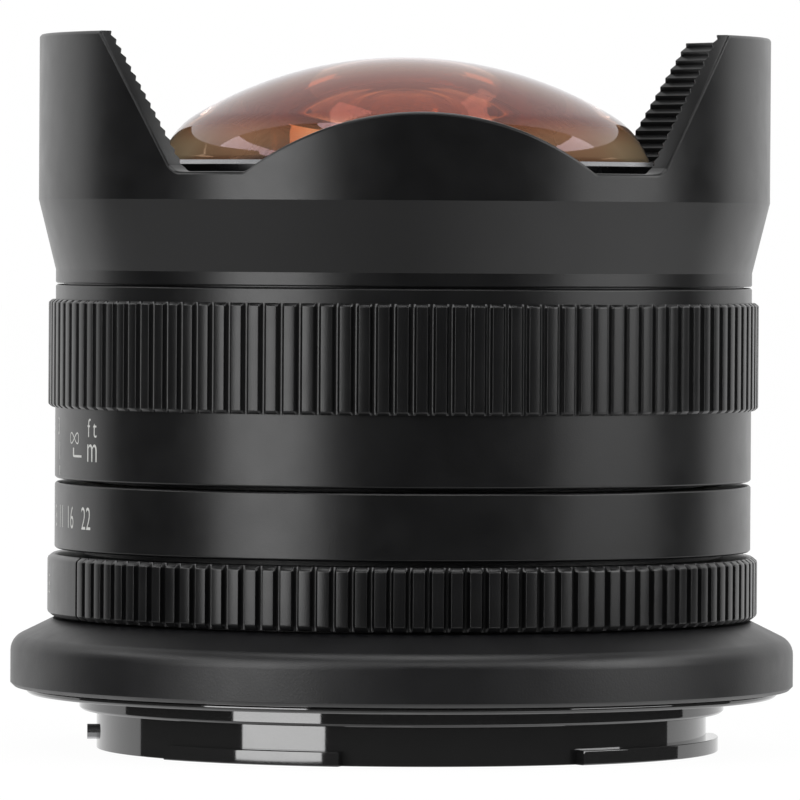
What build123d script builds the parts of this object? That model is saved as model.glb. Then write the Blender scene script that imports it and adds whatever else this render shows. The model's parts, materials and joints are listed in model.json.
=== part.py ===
from build123d import *

import os
from math import acos, asin, cos, degrees, radians, sin, sqrt, tan

# A manual-focus fisheye lens, in millimetres. The optical axis is +Z towards the front.
# The origin is on the axis, in the plane where the mount seats on a camera.
# The index line and the top of the lens face -X, the tall petals face -X and +X.

# Fits shared by all pieces
running_gap = 0.06
static_gap = 0.03
seat_gap = 0.02
cement_layer = 0.01
end_float = 0.1
edge_break = 0.15
overrun = 1.0

# Angles of the moving joints, in degrees
aperture_to_open = -5.0
aperture_to_closed = 43.0
focus_to_infinity = -16.5
focus_to_nearest = 83.5
blade_turn = 25.6

# Bayonet mount
bayonet_depth = 4.7
bayonet_wall = 2.5
tab_rise = 1.05
tab_thickness = 1.25
tab_spans = ((-139.7, -103.7), (-58.7, 5.3), (72.3, 137.3))
register_rise = 1.5
register_depth = 1.35
flange_width = 4.6
flange_rim = 0.45
flange_chamfer = 0.2
mount_plate = 1.6
mount_step = 0.8
stop_pin_radius = 0.65
stop_pin_depth = 3.35
stop_pin_rise = 0.8
stop_pin_inset = 0.6
stop_pin_angle = 180.0

# Rear baffle inside the mount
baffle_recess = 0.9
baffle_thickness = 0.8
baffle_ledge = 1.2
baffle_ledge_width = 3.3
baffle_width = 30.0
baffle_height = 22.0
baffle_corner = 2.0
baffle_screw_inset = 1.8
baffle_screw_radius = 0.5
baffle_screw_head = 0.95
baffle_screw_head_height = 0.4
baffle_screw_length = 1.9
baffle_screw_angles = (90.0, 210.0, 330.0)

# Mount screws and shim
mount_screw_radius = 0.75
mount_screw_head = 1.4
mount_screw_cone = 0.75
mount_screw_sink = 0.06
mount_screw_length = 3.5
mount_screw_angles = (20.0, 110.0, 200.0, 290.0)
shim_thickness = 0.1

# Skirt behind the aperture ring
skirt_shadow = 0.15
skirt_wall = 1.72
skirt_bevel = 0.35
skirt_straight = 3.1
skirt_rounding = 1.3
skirt_height = 5.9
skirt_set_back = 0.5
skirt_lip = 0.8

# Fixed barrel
flange_overlap = 0.4
foot_thickness = 2.3
barrel_step = 2.0
band_wall = 2.47
barrel_wall = 2.9
neck_depth = 1.8
nose_web = 0.9
nose_flange_inset = 0.15
nose_flange = 1.0
sleeve_wall = 1.2
sleeve_gap = 0.4
sleeve_height = 8.2

# Keys that stop the helicoid barrel from turning
key_width = 3.0
key_height = 4.0
key_drop = 0.6
key_angles = (0.0, 180.0)

# Aperture ring: its numbers stand on a smooth window between the grooves
knurl_rise = 0.6
aperture_gap = 0.2
aperture_height = 5.35
aperture_chamfer = 0.37
knurl_count = 120
aperture_groove = 0.6
aperture_groove_floor = 0.44
groove_depth = 0.55
aperture_groove_phase = -91.6
window_span = (119.5, 199.5)

# Finger that couples the aperture ring to the iris lever
finger_angle = 90.0
finger_width = 6.0
finger_thickness = 2.2
finger_rise = 1.6
finger_overhang = 0.7
finger_screw_radius = 0.6
finger_screw_spread = 1.7
finger_screw_bite = 3.5
finger_window_gap = 0.3
finger_window_margin = 4.0

# Fixed scale band
band_gap = 0.45
band_height = 5.7
band_screw_radius = 0.8
band_screw_bite = 1.3
band_screw_angles = (30.0, 90.0, 150.0)

# Focus ring
focus_gap = 0.35
focus_wall = 0.97
scale_height = 6.1
knurl_height = 9.25
collar_height = 1.3
knurl_chamfer = 0.25
focus_groove = 0.72
focus_groove_floor = 0.42
focus_groove_phase = -91.32
focus_screw_radius = 0.7
focus_screw_bite = 0.75
focus_screw_rise = 2.3
focus_screw_angles = (30.0, 90.0, 150.0)

# Grub screws of both rings
grub_sink = 0.15
grub_slot = 0.3
grub_slot_depth = 0.5

# Helicoid nut, and the halves that hold the focus ring on the fixed barrel
nut_wall = 1.35
nut_height = 13.1
helicoid_wall = 1.8
retainer_inset = 0.15
retainer_thickness = 1.0
retainer_rise = 0.95
retainer_split = 0.4
retainer_screw_inset = 0.42
retainer_screw_radius = 0.32
retainer_screw_length = 2.4
retainer_screw_angles = (45.0, 135.0, 225.0, 315.0)

# Pin that ends the focus travel
travel_pin_radius = 0.4
travel_pin_inset = 0.55
travel_pin_length = 1.9
travel_pin_angle = 60.0
travel_groove_depth = 1.1

# Helicoid barrel and lens tube
helicoid_foot = 0.6
helicoid_flange = 1.6
inner_flange_width = 1.8
tube_flange = 1.2
tube_wall = 2.2
tube_gap = 0.6
tube_depth = 16.0
tube_web = 1.6
tube_web_depth = 0.8
hub_wall = 3.47
hub_plate = 1.8
hub_lip = 0.7
hub_lip_height = 1.4
cup_wall = 2.97
cup_gap = 0.1

# Petal hood
hood_gap = 0.27
hood_foot = 0.98
hood_cone = 6.03
hood_flare = 1.5
hood_band = 2.32
hood_socket = 3.73
petal_height = 11.85
petal_top_wall = 1.0
petal_foot_wall = 1.85
petal_top_chamfer = 0.25
rib_pitch = 0.77
rib_depth = 0.35
small_petal_rise = 5.0
small_petal_curve = 24.0
tall_petal_foot_inset = 10.6
tall_petal_foot_rise = 0.55
tall_petal_top_inset = 4.9
tall_petal_blend = 0.9
petal_plane_shares = (0.48, 1.28)
petal_shares = (-1.0, -0.78, -0.52, -0.26, 0.0, 0.26, 0.52, 0.78, 1.0)
petal_side_shares = (0.0, 0.3, 0.65, 1.0)
hood_screw_inset = 1.5
hood_screw_radius = 0.6
hood_screw_head = 1.05
hood_screw_head_height = 0.8
hood_screw_length = 5.4
hood_screw_angles = (60.0, 180.0, 300.0)

# Front cell and its retaining ring
cell_wall = 1.92
cell_floor = 0.5
cell_lip = 0.2
front_ring_wall = 2.87
front_ring_height = 1.2
front_ring_chamfer = 0.35

# Glass, front to rear: a curve is positive where its middle stands forward
dome_rim = 2.6
dome_curve = 34.9
dome_thickness = 2.5
dome_shoulder = 1.1
dome_overlap = 0.1
dome_edge_bulge = 0.75
dome_back_curve = 13.5
dome_back_share = 0.978
dome_ledge = 0.9
second_gap = 7.4
second_thickness = 1.4
second_front_curve = 24.0
second_back_curve = 8.8
second_back_share = 0.965
second_ledge = 3.8
third_gap = 5.4
third_thickness = 1.2
third_front_curve = 20.0
third_back_curve = 11.0
third_back_share = 0.74
third_ledge = 1.0
core_radius = 8.0
fourth_gap = 3.5
fourth_edge = 3.14
fourth_front_curve = 18.0
fifth_edge = 1.75
fifth_front_curve = 14.0
fifth_back_curve = -60.0
sixth_gap = 6.8
sixth_edge = 0.61
sixth_front_curve = 30.0
sixth_back_curve = -40.0
seventh_gap = 0.6
seventh_edge = 0.71
seventh_front_curve = 22.0
eighth_edge = 2.8
eighth_front_curve = -30.0
eighth_back_curve = 45.0
ninth_gap = 0.7
ninth_edge = 0.87
ninth_front_curve = 20.0
tenth_edge = 2.15
tenth_front_curve = -200.0
tenth_back_curve = 30.0
eleventh_gap = 0.7
eleventh_edge = 0.43
eleventh_front_curve = 28.0
eleventh_back_curve = -80.0

# Rings that hold the glass
spacer_wall = 0.8
front_spacer_wall = 0.5
doublet_ring_wall = 0.6
rear_cell_wall = 1.8
rear_cell_tail = 0.6
rear_flange = 0.8
rear_lip = 0.6
rear_ring_wall = 1.2

# Iris housing, cam ring and blades
iris_wall = 1.89
iris_margin = 3.41
iris_opening = 8.2
iris_plate = 1.4
iris_roof_gap = 0.18
cam_thickness = 1.6
cam_width = 2.6
cam_slot = 0.7
blade_count = 12
blade_thickness = 0.08
blade_pitch = 0.14
blade_gap = 0.2
blade_inner = 6.6
blade_margin = 2.0
blade_span = (3.0, 108.0)
pivot_circle = 13.0
pivot_radius = 0.3
pivot_recess = 0.2
drive_offset = 4.5
drive_recess = 0.2
ear_radius = 0.75
ear_root_inset = 0.8
ear_root_angles = (6.0, 24.0)
core_screw_radius = 0.45
core_screw_head = 0.75
core_screw_head_height = 0.5
core_screw_bite = 1.2
core_screw_angles = (25.0, 200.0, 290.0)

# Lever from the cam ring back to the aperture ring's finger
lever_width = 2.4
lever_thickness = 0.6
lever_grip = 1.81
lever_gap = 0.7
lever_bar_depth = 1.4
lever_bar_width = 2.0
lever_overhang = 0.8
lever_margin = 1.5

# Cross recess in a screw's head, as shares of the head
recess_length_share = 1.3
recess_width_share = 0.28
recess_depth_share = 0.5

# Radii of the iris and of the core, from the blades' pivots outwards
iris_bore = pivot_circle + iris_margin
iris_radius = iris_bore + iris_wall
cam_inner = pivot_circle - cam_width
blade_outer = pivot_circle - blade_margin
ear_root_circle = blade_outer - ear_root_inset
core_screw_circle = (iris_bore + iris_radius) / 2
lever_root = iris_bore - lever_grip
lever_bar_inner = iris_radius + lever_gap
lever_bar_outer = lever_bar_inner + lever_bar_depth
finger_reach = lever_bar_inner - finger_overhang

# Radii of the sliding and turning barrels
tube_bore = lever_bar_outer + tube_gap
tube_radius = tube_bore + tube_wall
sleeve_bore = tube_radius + sleeve_gap
sleeve_outer = sleeve_bore + sleeve_wall
helicoid_inner = sleeve_outer + end_float
thread_radius = helicoid_inner + helicoid_wall
key_reach = thread_radius - end_float
inner_flange_radius = thread_radius + inner_flange_width
hood_screw_circle = inner_flange_radius - hood_screw_inset
nut_radius = thread_radius + nut_wall
travel_pin_circle = thread_radius + travel_pin_inset
travel_groove_radius = travel_pin_circle + travel_pin_radius + running_gap
retainer_radius = nut_radius + retainer_rise
retainer_screw_circle = retainer_radius - retainer_screw_inset

# Radii of the outer rings and of the fixed barrel inside them
band_radius = retainer_radius + static_gap + focus_wall
ring_radius = band_radius + knurl_rise
barrel_radius = band_radius - static_gap - band_wall
barrel_bore = barrel_radius - barrel_wall
step_radius = barrel_radius + barrel_step
nose_flange_radius = nut_radius - nose_flange_inset
neck_radius = nose_flange_radius - neck_depth
focus_screw_root = nut_radius - focus_screw_bite
band_screw_root = barrel_radius - band_screw_bite
finger_screw_root = barrel_radius - finger_screw_bite

# Radii of the mount
mount_bore = barrel_bore - mount_step
bayonet_radius = mount_bore + bayonet_wall
tab_radius = bayonet_radius + tab_rise
register_radius = bayonet_radius + register_rise
flange_radius = register_radius + flange_width
mount_screw_circle = (register_radius + flange_radius) / 2
foot_radius = flange_radius - flange_overlap
skirt_radius = foot_radius + static_gap + skirt_wall
skirt_top_radius = ring_radius - skirt_set_back
stop_pin_root = mount_bore + stop_pin_inset
stop_pin_reach = bayonet_radius + stop_pin_rise
baffle_ledge_radius = mount_bore - baffle_ledge_width
baffle_screw_circle = mount_bore - baffle_screw_inset

# Radii of the glass, its cells and the hood
third_radius = core_radius + third_ledge
second_radius = third_radius + second_ledge
hub_radius = core_radius + static_gap + hub_wall
cup_radius = third_radius + static_gap + cup_wall
cell_lip_radius = third_radius + cell_lip
dome_edge_radius = tube_bore + dome_overlap
dome_clear_radius = dome_edge_radius - dome_shoulder
dome_seat_radius = dome_edge_radius + dome_ledge
dome_back_radius = dome_back_curve * dome_back_share
second_back_radius = second_back_curve * second_back_share
third_back_radius = third_back_curve * third_back_share
cell_radius = dome_seat_radius + static_gap + cell_wall
front_ring_radius = dome_edge_radius + static_gap + front_ring_wall
hood_bore = cell_radius + static_gap
hood_foot_radius = band_radius
hood_radius = hood_foot_radius + hood_flare
tall_petal_foot = hood_radius - tall_petal_foot_inset
tall_petal_top = hood_radius - tall_petal_top_inset

# Heights of the outer stack above the seat plane
skirt_low = flange_rim + skirt_shadow
skirt_top = skirt_low + skirt_height
aperture_low = skirt_top + aperture_gap
aperture_top = aperture_low + aperture_height
band_low = aperture_top + band_gap
band_top = band_low + band_height
focus_low = band_top + focus_gap
knurl_low = focus_low + scale_height
knurl_top = knurl_low + knurl_height
focus_top = knurl_top + collar_height
hood_low = focus_top + hood_gap
hood_cone_low = hood_low + hood_foot
hood_cone_top = hood_cone_low + hood_cone
hood_floor = hood_cone_top + hood_band
petal_top = hood_floor + petal_height
socket_top = hood_low + hood_socket

# Heights of the fixed and turning pieces inside
foot_low = mount_plate + shim_thickness
foot_top = foot_low + foot_thickness
step_top = skirt_top - skirt_lip
finger_low = aperture_low + finger_rise
finger_top = finger_low + finger_thickness
retainer_low = focus_low + retainer_inset
retainer_top = retainer_low + retainer_thickness
nose_low = retainer_top + end_float
nose_top = nose_low + nose_flange
sleeve_top = nose_top + sleeve_height
key_top = sleeve_top - key_drop
key_low = key_top - key_height
nut_low = nose_top + end_float
helicoid_low = nose_top + helicoid_foot
tube_flange_low = socket_top - tube_flange
helicoid_flange_low = tube_flange_low - helicoid_flange


def sag(curve, radius):
    """Fall of a round surface from its middle to a radius."""
    fall = abs(curve) - sqrt(curve**2 - radius**2)
    return fall if curve > 0 else -fall


def centre(edge, front_curve, back_curve):
    """Thickness at the middle of an element of the core, from its thickness at the edge."""
    return edge + sag(front_curve, core_radius) - sag(back_curve, core_radius)


# Thickness of the core's elements
fourth_thickness = centre(fourth_edge, fourth_front_curve, fifth_front_curve)
fifth_thickness = centre(fifth_edge, fifth_front_curve, fifth_back_curve)
sixth_thickness = centre(sixth_edge, sixth_front_curve, sixth_back_curve)
seventh_thickness = centre(seventh_edge, seventh_front_curve, eighth_front_curve)
eighth_thickness = centre(eighth_edge, eighth_front_curve, eighth_back_curve)
ninth_thickness = centre(ninth_edge, ninth_front_curve, tenth_front_curve)
tenth_thickness = centre(tenth_edge, tenth_front_curve, tenth_back_curve)
eleventh_thickness = centre(eleventh_edge, eleventh_front_curve, eleventh_back_curve)

# Heights of each element's front vertex, and of the flat seats behind the first three
dome_apex = hood_floor + front_ring_height + dome_rim + sag(dome_curve, dome_clear_radius)
dome_seat = dome_apex - dome_thickness - sag(dome_back_curve, dome_back_radius)
second_top = dome_apex - dome_thickness - second_gap
second_seat = second_top - second_thickness - sag(second_back_curve, second_back_radius)
third_top = second_top - second_thickness - third_gap
third_seat = third_top - third_thickness - sag(third_back_curve, third_back_radius)
fourth_top = third_top - third_thickness - fourth_gap
fifth_top = fourth_top - fourth_thickness
fifth_low = fifth_top - fifth_thickness
sixth_top = fifth_low - sixth_gap
sixth_low = sixth_top - sixth_thickness
seventh_top = sixth_low - seventh_gap
eighth_top = seventh_top - seventh_thickness
eighth_low = eighth_top - eighth_thickness
ninth_top = eighth_low - ninth_gap
tenth_top = ninth_top - ninth_thickness
tenth_low = tenth_top - tenth_thickness
eleventh_top = tenth_low - eleventh_gap
eleventh_low = eleventh_top - eleventh_thickness

# Heights of the hub and the iris, from the doublet's lip downwards
cell_low = second_seat - cell_floor
doublet_lip = fifth_low - sag(fifth_back_curve, core_radius - hub_lip) - seat_gap
hub_low = doublet_lip - hub_lip_height
iris_roof = hub_low - iris_plate
blade_low = iris_roof - iris_roof_gap - (blade_count - 1) * blade_pitch - blade_thickness
cam_top = blade_low - blade_gap
cam_low = cam_top - cam_thickness
rear_flange_top = cam_low - end_float
rear_flange_low = rear_flange_top - rear_flange
rear_cell_low = eleventh_low - rear_cell_tail


def polar(radius, angle):
    """X and Y of a point given by its radius and its angle in degrees."""
    return radius * cos(radians(angle)), radius * sin(radians(angle))


def turned(*points):
    """Solid turned round the optical axis from (radius, height) points."""
    outline = Polyline(*[(radius, 0, height) for radius, height in points], close=True)
    return revolve(make_face(outline), Axis.Z)


def ring(outer, inner, low, high, top_break=0, low_break=0):
    """Plain ring, with its outer edges broken where a chamfer is given."""
    points = [(inner, low)]
    points += [(outer - low_break, low)] if low_break else []
    points += [(outer, low + low_break), (outer, high - top_break)]
    points += [(outer - top_break, high)] if top_break else []
    return turned(*points, (inner, high))


def rod(radius, low, high):
    """Round bar or cutter on the axis."""
    return turned((0, low), (radius, low), (radius, high), (0, high))


def turn(solid, angle):
    """Solid turned round the optical axis."""
    return Rotation(0, 0, angle) * solid


def around(solid, circle, angles):
    """Copies of a solid that stands along Z, set on a circle."""
    return [turn(Pos(circle, 0, 0) * solid, angle) for angle in angles]


def radial(solid, height, angle):
    """Solid drawn along Z, laid outwards along a radius."""
    return Location((0, 0, height), (0, 0, angle)) * Rotation(0, 90, 0) * solid


def sector(outer, inner, low, high, start, end):
    """Part of a ring between two angles."""
    middle = (start + end) / 2
    edges = [
        ThreePointArc(polar(outer, start), polar(outer, middle), polar(outer, end)),
        Line(polar(outer, end), polar(inner, end)),
        ThreePointArc(polar(inner, end), polar(inner, middle), polar(inner, start)),
        Line(polar(inner, start), polar(outer, start)),
    ]
    return Pos(0, 0, low) * extrude(make_face(edges), high - low)


def screw_body(shank, head, head_height, length, cone=False):
    """Screw without its recess, also used to cut its hole: head at zero, shank along Z."""
    foot = [] if cone else [(head, head_height)]
    return turned((0, 0), (head, 0), *foot, (shank, head_height), (shank, length), (0, length))


def screw(shank, head, head_height, length, cone=False):
    """Screw along Z, round or countersunk, with a cross recess."""
    width = head * recess_width_share
    reach = head * recess_length_share
    depth = head_height * recess_depth_share
    cross = Box(reach, width, 2 * depth) + Box(width, reach, 2 * depth)
    return screw_body(shank, head, head_height, length, cone) - cross


def grub(radius, root, face):
    """Headless screw along Z, slotted in its outer face."""
    slot = Pos(0, 0, face) * Box(3 * radius, grub_slot, 2 * grub_slot_depth)
    return rod(radius, root, face) - slot


def cut(solid, cutters):
    """Solid with every cutter taken out."""
    for cutter in cutters:
        solid = solid - cutter
    return solid


def grooved_face(outer, mouth, floor, phase, smooth=None):
    """Face across a knurled ring: trapezoid grooves, left out where the ring is smooth."""
    root = outer - groove_depth
    half_mouth = degrees(mouth / 2 / outer)
    half_floor = degrees(floor / 2 / root)
    centres = [phase + 360 * place / knurl_count for place in range(knurl_count)]
    if smooth:
        centres = [c for c in centres if not smooth[0] < c < smooth[1]]
    edges = []
    for centre, following in zip(centres, centres[1:] + [centres[0] + 360]):
        start = polar(outer, centre - half_mouth)
        floor_start = polar(root, centre - half_floor)
        floor_end = polar(root, centre + half_floor)
        end = polar(outer, centre + half_mouth)
        middle = polar(outer, (centre + following) / 2)
        next_start = polar(outer, following - half_mouth)
        edges += [Line(start, floor_start), Line(floor_start, floor_end), Line(floor_end, end)]
        edges += [ThreePointArc(end, middle, next_start)]
    return make_face(edges)


def knurled(low, high, bore, chamfer_size, face):
    """Knurled length of a ring, chamfered at both ends."""
    blank = ring(ring_radius, bore, low, high, chamfer_size, chamfer_size)
    return blank & (Pos(0, 0, low) * extrude(face, high - low))


def bayonet_mount():
    """Plated ring with its register boss, barrel and three tabs."""
    body = turned(
        (mount_bore, -bayonet_depth),
        (bayonet_radius, -bayonet_depth),
        (bayonet_radius, -register_depth),
        (register_radius - edge_break, -register_depth),
        (register_radius, edge_break - register_depth),
        (register_radius, 0),
        (flange_radius - flange_chamfer, 0),
        (flange_radius, flange_chamfer),
        (flange_radius, flange_rim),
        (foot_radius - static_gap, flange_rim),
        (foot_radius - static_gap, mount_plate),
        (mount_bore, mount_plate),
    )
    tab_top = tab_thickness - bayonet_depth
    for start, end in tab_spans:
        body += sector(tab_radius, mount_bore, -bayonet_depth, tab_top, start, end)
    ledge_low = baffle_recess + baffle_thickness - bayonet_depth
    body += ring(mount_bore + overrun, baffle_ledge_radius, ledge_low, ledge_low + baffle_ledge)
    screw_hole = screw_body(
        mount_screw_radius + static_gap, mount_screw_head + static_gap, mount_screw_cone,
        mount_plate + overrun, cone=True,
    ) + rod(mount_screw_head + static_gap, -overrun, 0)
    body = cut(body, around(Pos(0, 0, mount_screw_sink) * screw_hole, mount_screw_circle, mount_screw_angles))
    baffle_hole = rod(
        baffle_screw_radius + static_gap, ledge_low - overrun, ledge_low + baffle_ledge + overrun
    )
    body = cut(body, around(baffle_hole, baffle_screw_circle, baffle_screw_angles))
    pin_hole = rod(stop_pin_radius + static_gap, stop_pin_root - seat_gap, stop_pin_reach + overrun)
    return body - radial(pin_hole, -stop_pin_depth, stop_pin_angle)


def mount_screws():
    """Four countersunk screws from the rear through the mount into the barrel's foot."""
    one = screw(mount_screw_radius, mount_screw_head, mount_screw_cone, mount_screw_length, cone=True)
    return around(Pos(0, 0, mount_screw_sink) * one, mount_screw_circle, mount_screw_angles)


def bayonet_stop_pin():
    """Pin that stands out of the bayonet barrel and stops the turn on a camera."""
    return radial(rod(stop_pin_radius, stop_pin_root, stop_pin_reach), -stop_pin_depth, stop_pin_angle)


def mount_shim():
    """Thin ring that sets the distance between mount and barrel."""
    shim = ring(foot_radius - static_gap, mount_bore + overrun, mount_plate, foot_low)
    hole = rod(mount_screw_radius + static_gap, mount_plate - overrun, foot_low + overrun)
    return cut(shim, around(hole, mount_screw_circle, mount_screw_angles))


def rear_baffle():
    """Blackened plate with the light opening, seated on the mount's inner ledge."""
    low = baffle_recess - bayonet_depth
    plate = rod(mount_bore - static_gap, low, low + baffle_thickness)
    opening = RectangleRounded(baffle_width, baffle_height, baffle_corner)
    plate -= Pos(0, 0, low - overrun) * extrude(opening, baffle_thickness + 2 * overrun)
    hole = rod(baffle_screw_radius + static_gap, low - overrun, low + baffle_thickness + overrun)
    return cut(plate, around(hole, baffle_screw_circle, baffle_screw_angles))


def baffle_screws():
    """Three small screws that hold the baffle."""
    one = screw(baffle_screw_radius, baffle_screw_head, baffle_screw_head_height, baffle_screw_length)
    low = baffle_recess - bayonet_depth - baffle_screw_head_height
    return around(Pos(0, 0, low) * one, baffle_screw_circle, baffle_screw_angles)


def mount_skirt():
    """Matte ring that flares from the aperture ring to the mount."""
    straight_top = skirt_low + skirt_bevel + skirt_straight
    slope = (skirt_radius - skirt_top_radius) / (skirt_top - straight_top)
    tilt = degrees(acos(1 / sqrt(1 + slope**2)))
    edge = skirt_rounding * tan(radians(tilt / 2))
    shoulder = (skirt_radius - edge * sin(radians(tilt)), straight_top + edge * cos(radians(tilt)))
    half = radians(tilt / 2)
    middle = (
        skirt_radius - skirt_rounding * (1 - cos(half)),
        straight_top - edge + skirt_rounding * sin(half),
    )
    corners = [
        (foot_radius + static_gap, skirt_low),
        (skirt_radius - skirt_bevel, skirt_low),
        (skirt_radius, skirt_low + skirt_bevel),
        (skirt_radius, straight_top - edge),
    ]
    inner = [
        shoulder,
        (skirt_top_radius, skirt_top),
        (barrel_radius + static_gap, skirt_top),
        (barrel_radius + static_gap, step_top),
        (step_radius + static_gap, step_top),
        (step_radius + static_gap, foot_top),
        (foot_radius + static_gap, foot_top),
        corners[0],
    ]
    in_plane = [[(r, 0, z) for r, z in points] for points in (corners, inner)]
    arc = ThreePointArc(in_plane[0][-1], (middle[0], 0, middle[1]), in_plane[1][0])
    outline = [Polyline(*in_plane[0]), arc, Polyline(*in_plane[1])]
    return revolve(make_face(outline), Axis.Z)


def fixed_barrel():
    """Body of the lens: foot, barrel, nose flange for the focus ring and inner sleeve."""
    body = turned(
        (barrel_bore, foot_low),
        (foot_radius, foot_low),
        (foot_radius, foot_top),
        (step_radius, foot_top),
        (step_radius, step_top),
        (barrel_radius, step_top),
        (barrel_radius, band_top),
        (neck_radius, band_top),
        (neck_radius, nose_low),
        (nose_flange_radius, nose_low),
        (nose_flange_radius, nose_top),
        (sleeve_outer, nose_top),
        (sleeve_outer, sleeve_top),
        (sleeve_bore, sleeve_top),
        (sleeve_bore, nose_low - nose_web),
        (barrel_bore, nose_low - nose_web),
    )
    foot_hole = rod(mount_screw_radius + static_gap, 0, mount_screw_length + 2 * mount_screw_sink)
    body = cut(body, around(foot_hole, mount_screw_circle, mount_screw_angles))
    band_hole = rod(band_screw_radius + static_gap, band_screw_root - seat_gap, band_radius + overrun)
    band_middle = (band_low + band_top) / 2
    body = cut(body, [radial(band_hole, band_middle, angle) for angle in band_screw_angles])
    key_hole = Pos(sleeve_bore, 0, (key_low + key_top) / 2) * Box(
        2 * overrun + sleeve_outer - sleeve_bore, key_width + 2 * static_gap, key_height + 2 * static_gap
    )
    body = cut(body, [turn(key_hole, angle) for angle in key_angles])
    pin_hole = rod(travel_pin_radius + static_gap, nose_low - overrun, nose_top + overrun)
    body = cut(body, around(pin_hole, travel_pin_circle, (travel_pin_angle,)))
    half = degrees(finger_width / 2 / barrel_bore) + finger_window_margin
    window = sector(
        barrel_radius + overrun, barrel_bore - overrun,
        finger_low - finger_window_gap, finger_top + finger_window_gap,
        finger_angle + aperture_to_open - half, finger_angle + aperture_to_closed + half,
    )
    return body - window


def scale_band():
    """Fixed band that carries the index."""
    band = ring(band_radius, barrel_radius + static_gap, band_low, band_top, edge_break, edge_break)
    hole = rod(band_screw_radius + static_gap, barrel_radius - overrun, band_radius + overrun)
    middle = (band_low + band_top) / 2
    return cut(band, [radial(hole, middle, angle) for angle in band_screw_angles])


def band_screws():
    """Grub screws that pin the band to the barrel."""
    one = grub(band_screw_radius, band_screw_root, band_radius - grub_sink)
    middle = (band_low + band_top) / 2
    return [radial(one, middle, angle) for angle in band_screw_angles]


def guide_keys():
    """Two keys that let the helicoid barrel slide but not turn."""
    shell = ring(key_reach, sleeve_bore + static_gap, key_low, key_top)
    bar = Pos(key_reach, 0, (key_low + key_top) / 2) * Box(key_reach, key_width, 2 * key_height)
    return [turn(shell & bar, angle) for angle in key_angles]


def focus_stop_pin():
    """Pin in the nose flange that ends the focus travel."""
    pin = rod(travel_pin_radius, nose_low, nose_low + travel_pin_length)
    return around(pin, travel_pin_circle, (travel_pin_angle,))


def focus_ring():
    """Focus ring: smooth scale, knurl and collar on one bore."""
    bore = nut_radius + static_gap
    scale = turned(
        (retainer_radius + static_gap, focus_low),
        (band_radius - edge_break, focus_low),
        (band_radius, focus_low + edge_break),
        (band_radius, knurl_low),
        (bore, knurl_low),
        (bore, retainer_top),
        (retainer_radius + static_gap, retainer_top),
    )
    face = grooved_face(ring_radius, focus_groove, focus_groove_floor, focus_groove_phase)
    grip = knurled(knurl_low, knurl_top, bore, knurl_chamfer, face)
    body = scale + grip + ring(band_radius, bore, knurl_top, focus_top, edge_break)
    hole = rod(focus_screw_radius + static_gap, bore - overrun, band_radius + overrun)
    height = nut_low + focus_screw_rise
    body = cut(body, [radial(hole, height, angle) for angle in focus_screw_angles])
    screw_end = retainer_low + retainer_screw_length + seat_gap
    thread = rod(retainer_screw_radius + static_gap, retainer_top - overrun, screw_end)
    return cut(body, around(thread, retainer_screw_circle, retainer_screw_angles))


def helicoid_nut():
    """Brass nut inside the focus ring, with the groove that the travel pin runs in."""
    nut = ring(nut_radius, thread_radius + running_gap, nut_low, nut_low + nut_height)
    hole = rod(focus_screw_radius + static_gap, focus_screw_root - seat_gap, nut_radius + overrun)
    height = nut_low + focus_screw_rise
    nut = cut(nut, [radial(hole, height, angle) for angle in focus_screw_angles])
    half = degrees((travel_pin_radius + running_gap) / travel_pin_circle)
    groove = sector(
        travel_groove_radius, thread_radius - overrun, nut_low - overrun, nut_low + travel_groove_depth,
        travel_pin_angle - focus_to_nearest - half, travel_pin_angle - focus_to_infinity + half,
    )
    return nut - groove


def focus_ring_screws():
    """Grub screws that lock the ring on its nut."""
    one = grub(focus_screw_radius, focus_screw_root, band_radius - grub_sink)
    return [radial(one, nut_low + focus_screw_rise, angle) for angle in focus_screw_angles]


def focus_retainer_halves():
    """Split ring that closes behind the nose flange."""
    whole = ring(retainer_radius, neck_radius + end_float, retainer_low, retainer_top)
    hole = rod(retainer_screw_radius + static_gap, retainer_low - overrun, retainer_top + overrun)
    whole = cut(whole, around(hole, retainer_screw_circle, retainer_screw_angles))
    whole -= Pos(0, 0, retainer_low) * Box(3 * retainer_radius, retainer_split, 3 * retainer_thickness)
    return list(whole.solids())


def retainer_screws():
    """Small screws from the retainer into the focus ring."""
    one = rod(retainer_screw_radius, retainer_low, retainer_low + retainer_screw_length)
    return around(one, retainer_screw_circle, retainer_screw_angles)


def aperture_ring():
    """Grooved ring with the smooth window for its numbers."""
    face = grooved_face(
        ring_radius, aperture_groove, aperture_groove_floor, aperture_groove_phase, window_span
    )
    body = knurled(aperture_low, aperture_top, barrel_radius + running_gap, aperture_chamfer, face)
    middle = (finger_low + finger_top) / 2
    hole = rod(finger_screw_radius + static_gap, barrel_radius - overrun, ring_radius + overrun)
    holes = [turn(Pos(0, side, 0) * radial(hole, middle, 0), finger_angle) for side in finger_sides()]
    return cut(body, holes)


def finger_sides():
    """Sideways places of the two finger screws."""
    return -finger_screw_spread, finger_screw_spread


def aperture_finger():
    """Forked finger that reaches in through the barrel's window to the iris lever."""
    middle = (finger_low + finger_top) / 2
    outer = barrel_radius + running_gap - static_gap
    bar = Pos(outer, 0, middle) * Box(2 * (outer - finger_reach), finger_width, finger_thickness)
    finger = bar & rod(outer, finger_low - overrun, finger_top + overrun)
    slot_end = lever_bar_outer + end_float
    slot = Pos(slot_end - lever_bar_outer / 2, 0, middle) * Box(
        lever_bar_outer, lever_bar_width + 2 * running_gap, 2 * finger_thickness
    )
    finger -= slot
    hole = rod(finger_screw_radius + static_gap, finger_screw_root - seat_gap, outer + overrun)
    finger = cut(finger, [Pos(0, side, 0) * radial(hole, middle, 0) for side in finger_sides()])
    return turn(finger, finger_angle)


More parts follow.
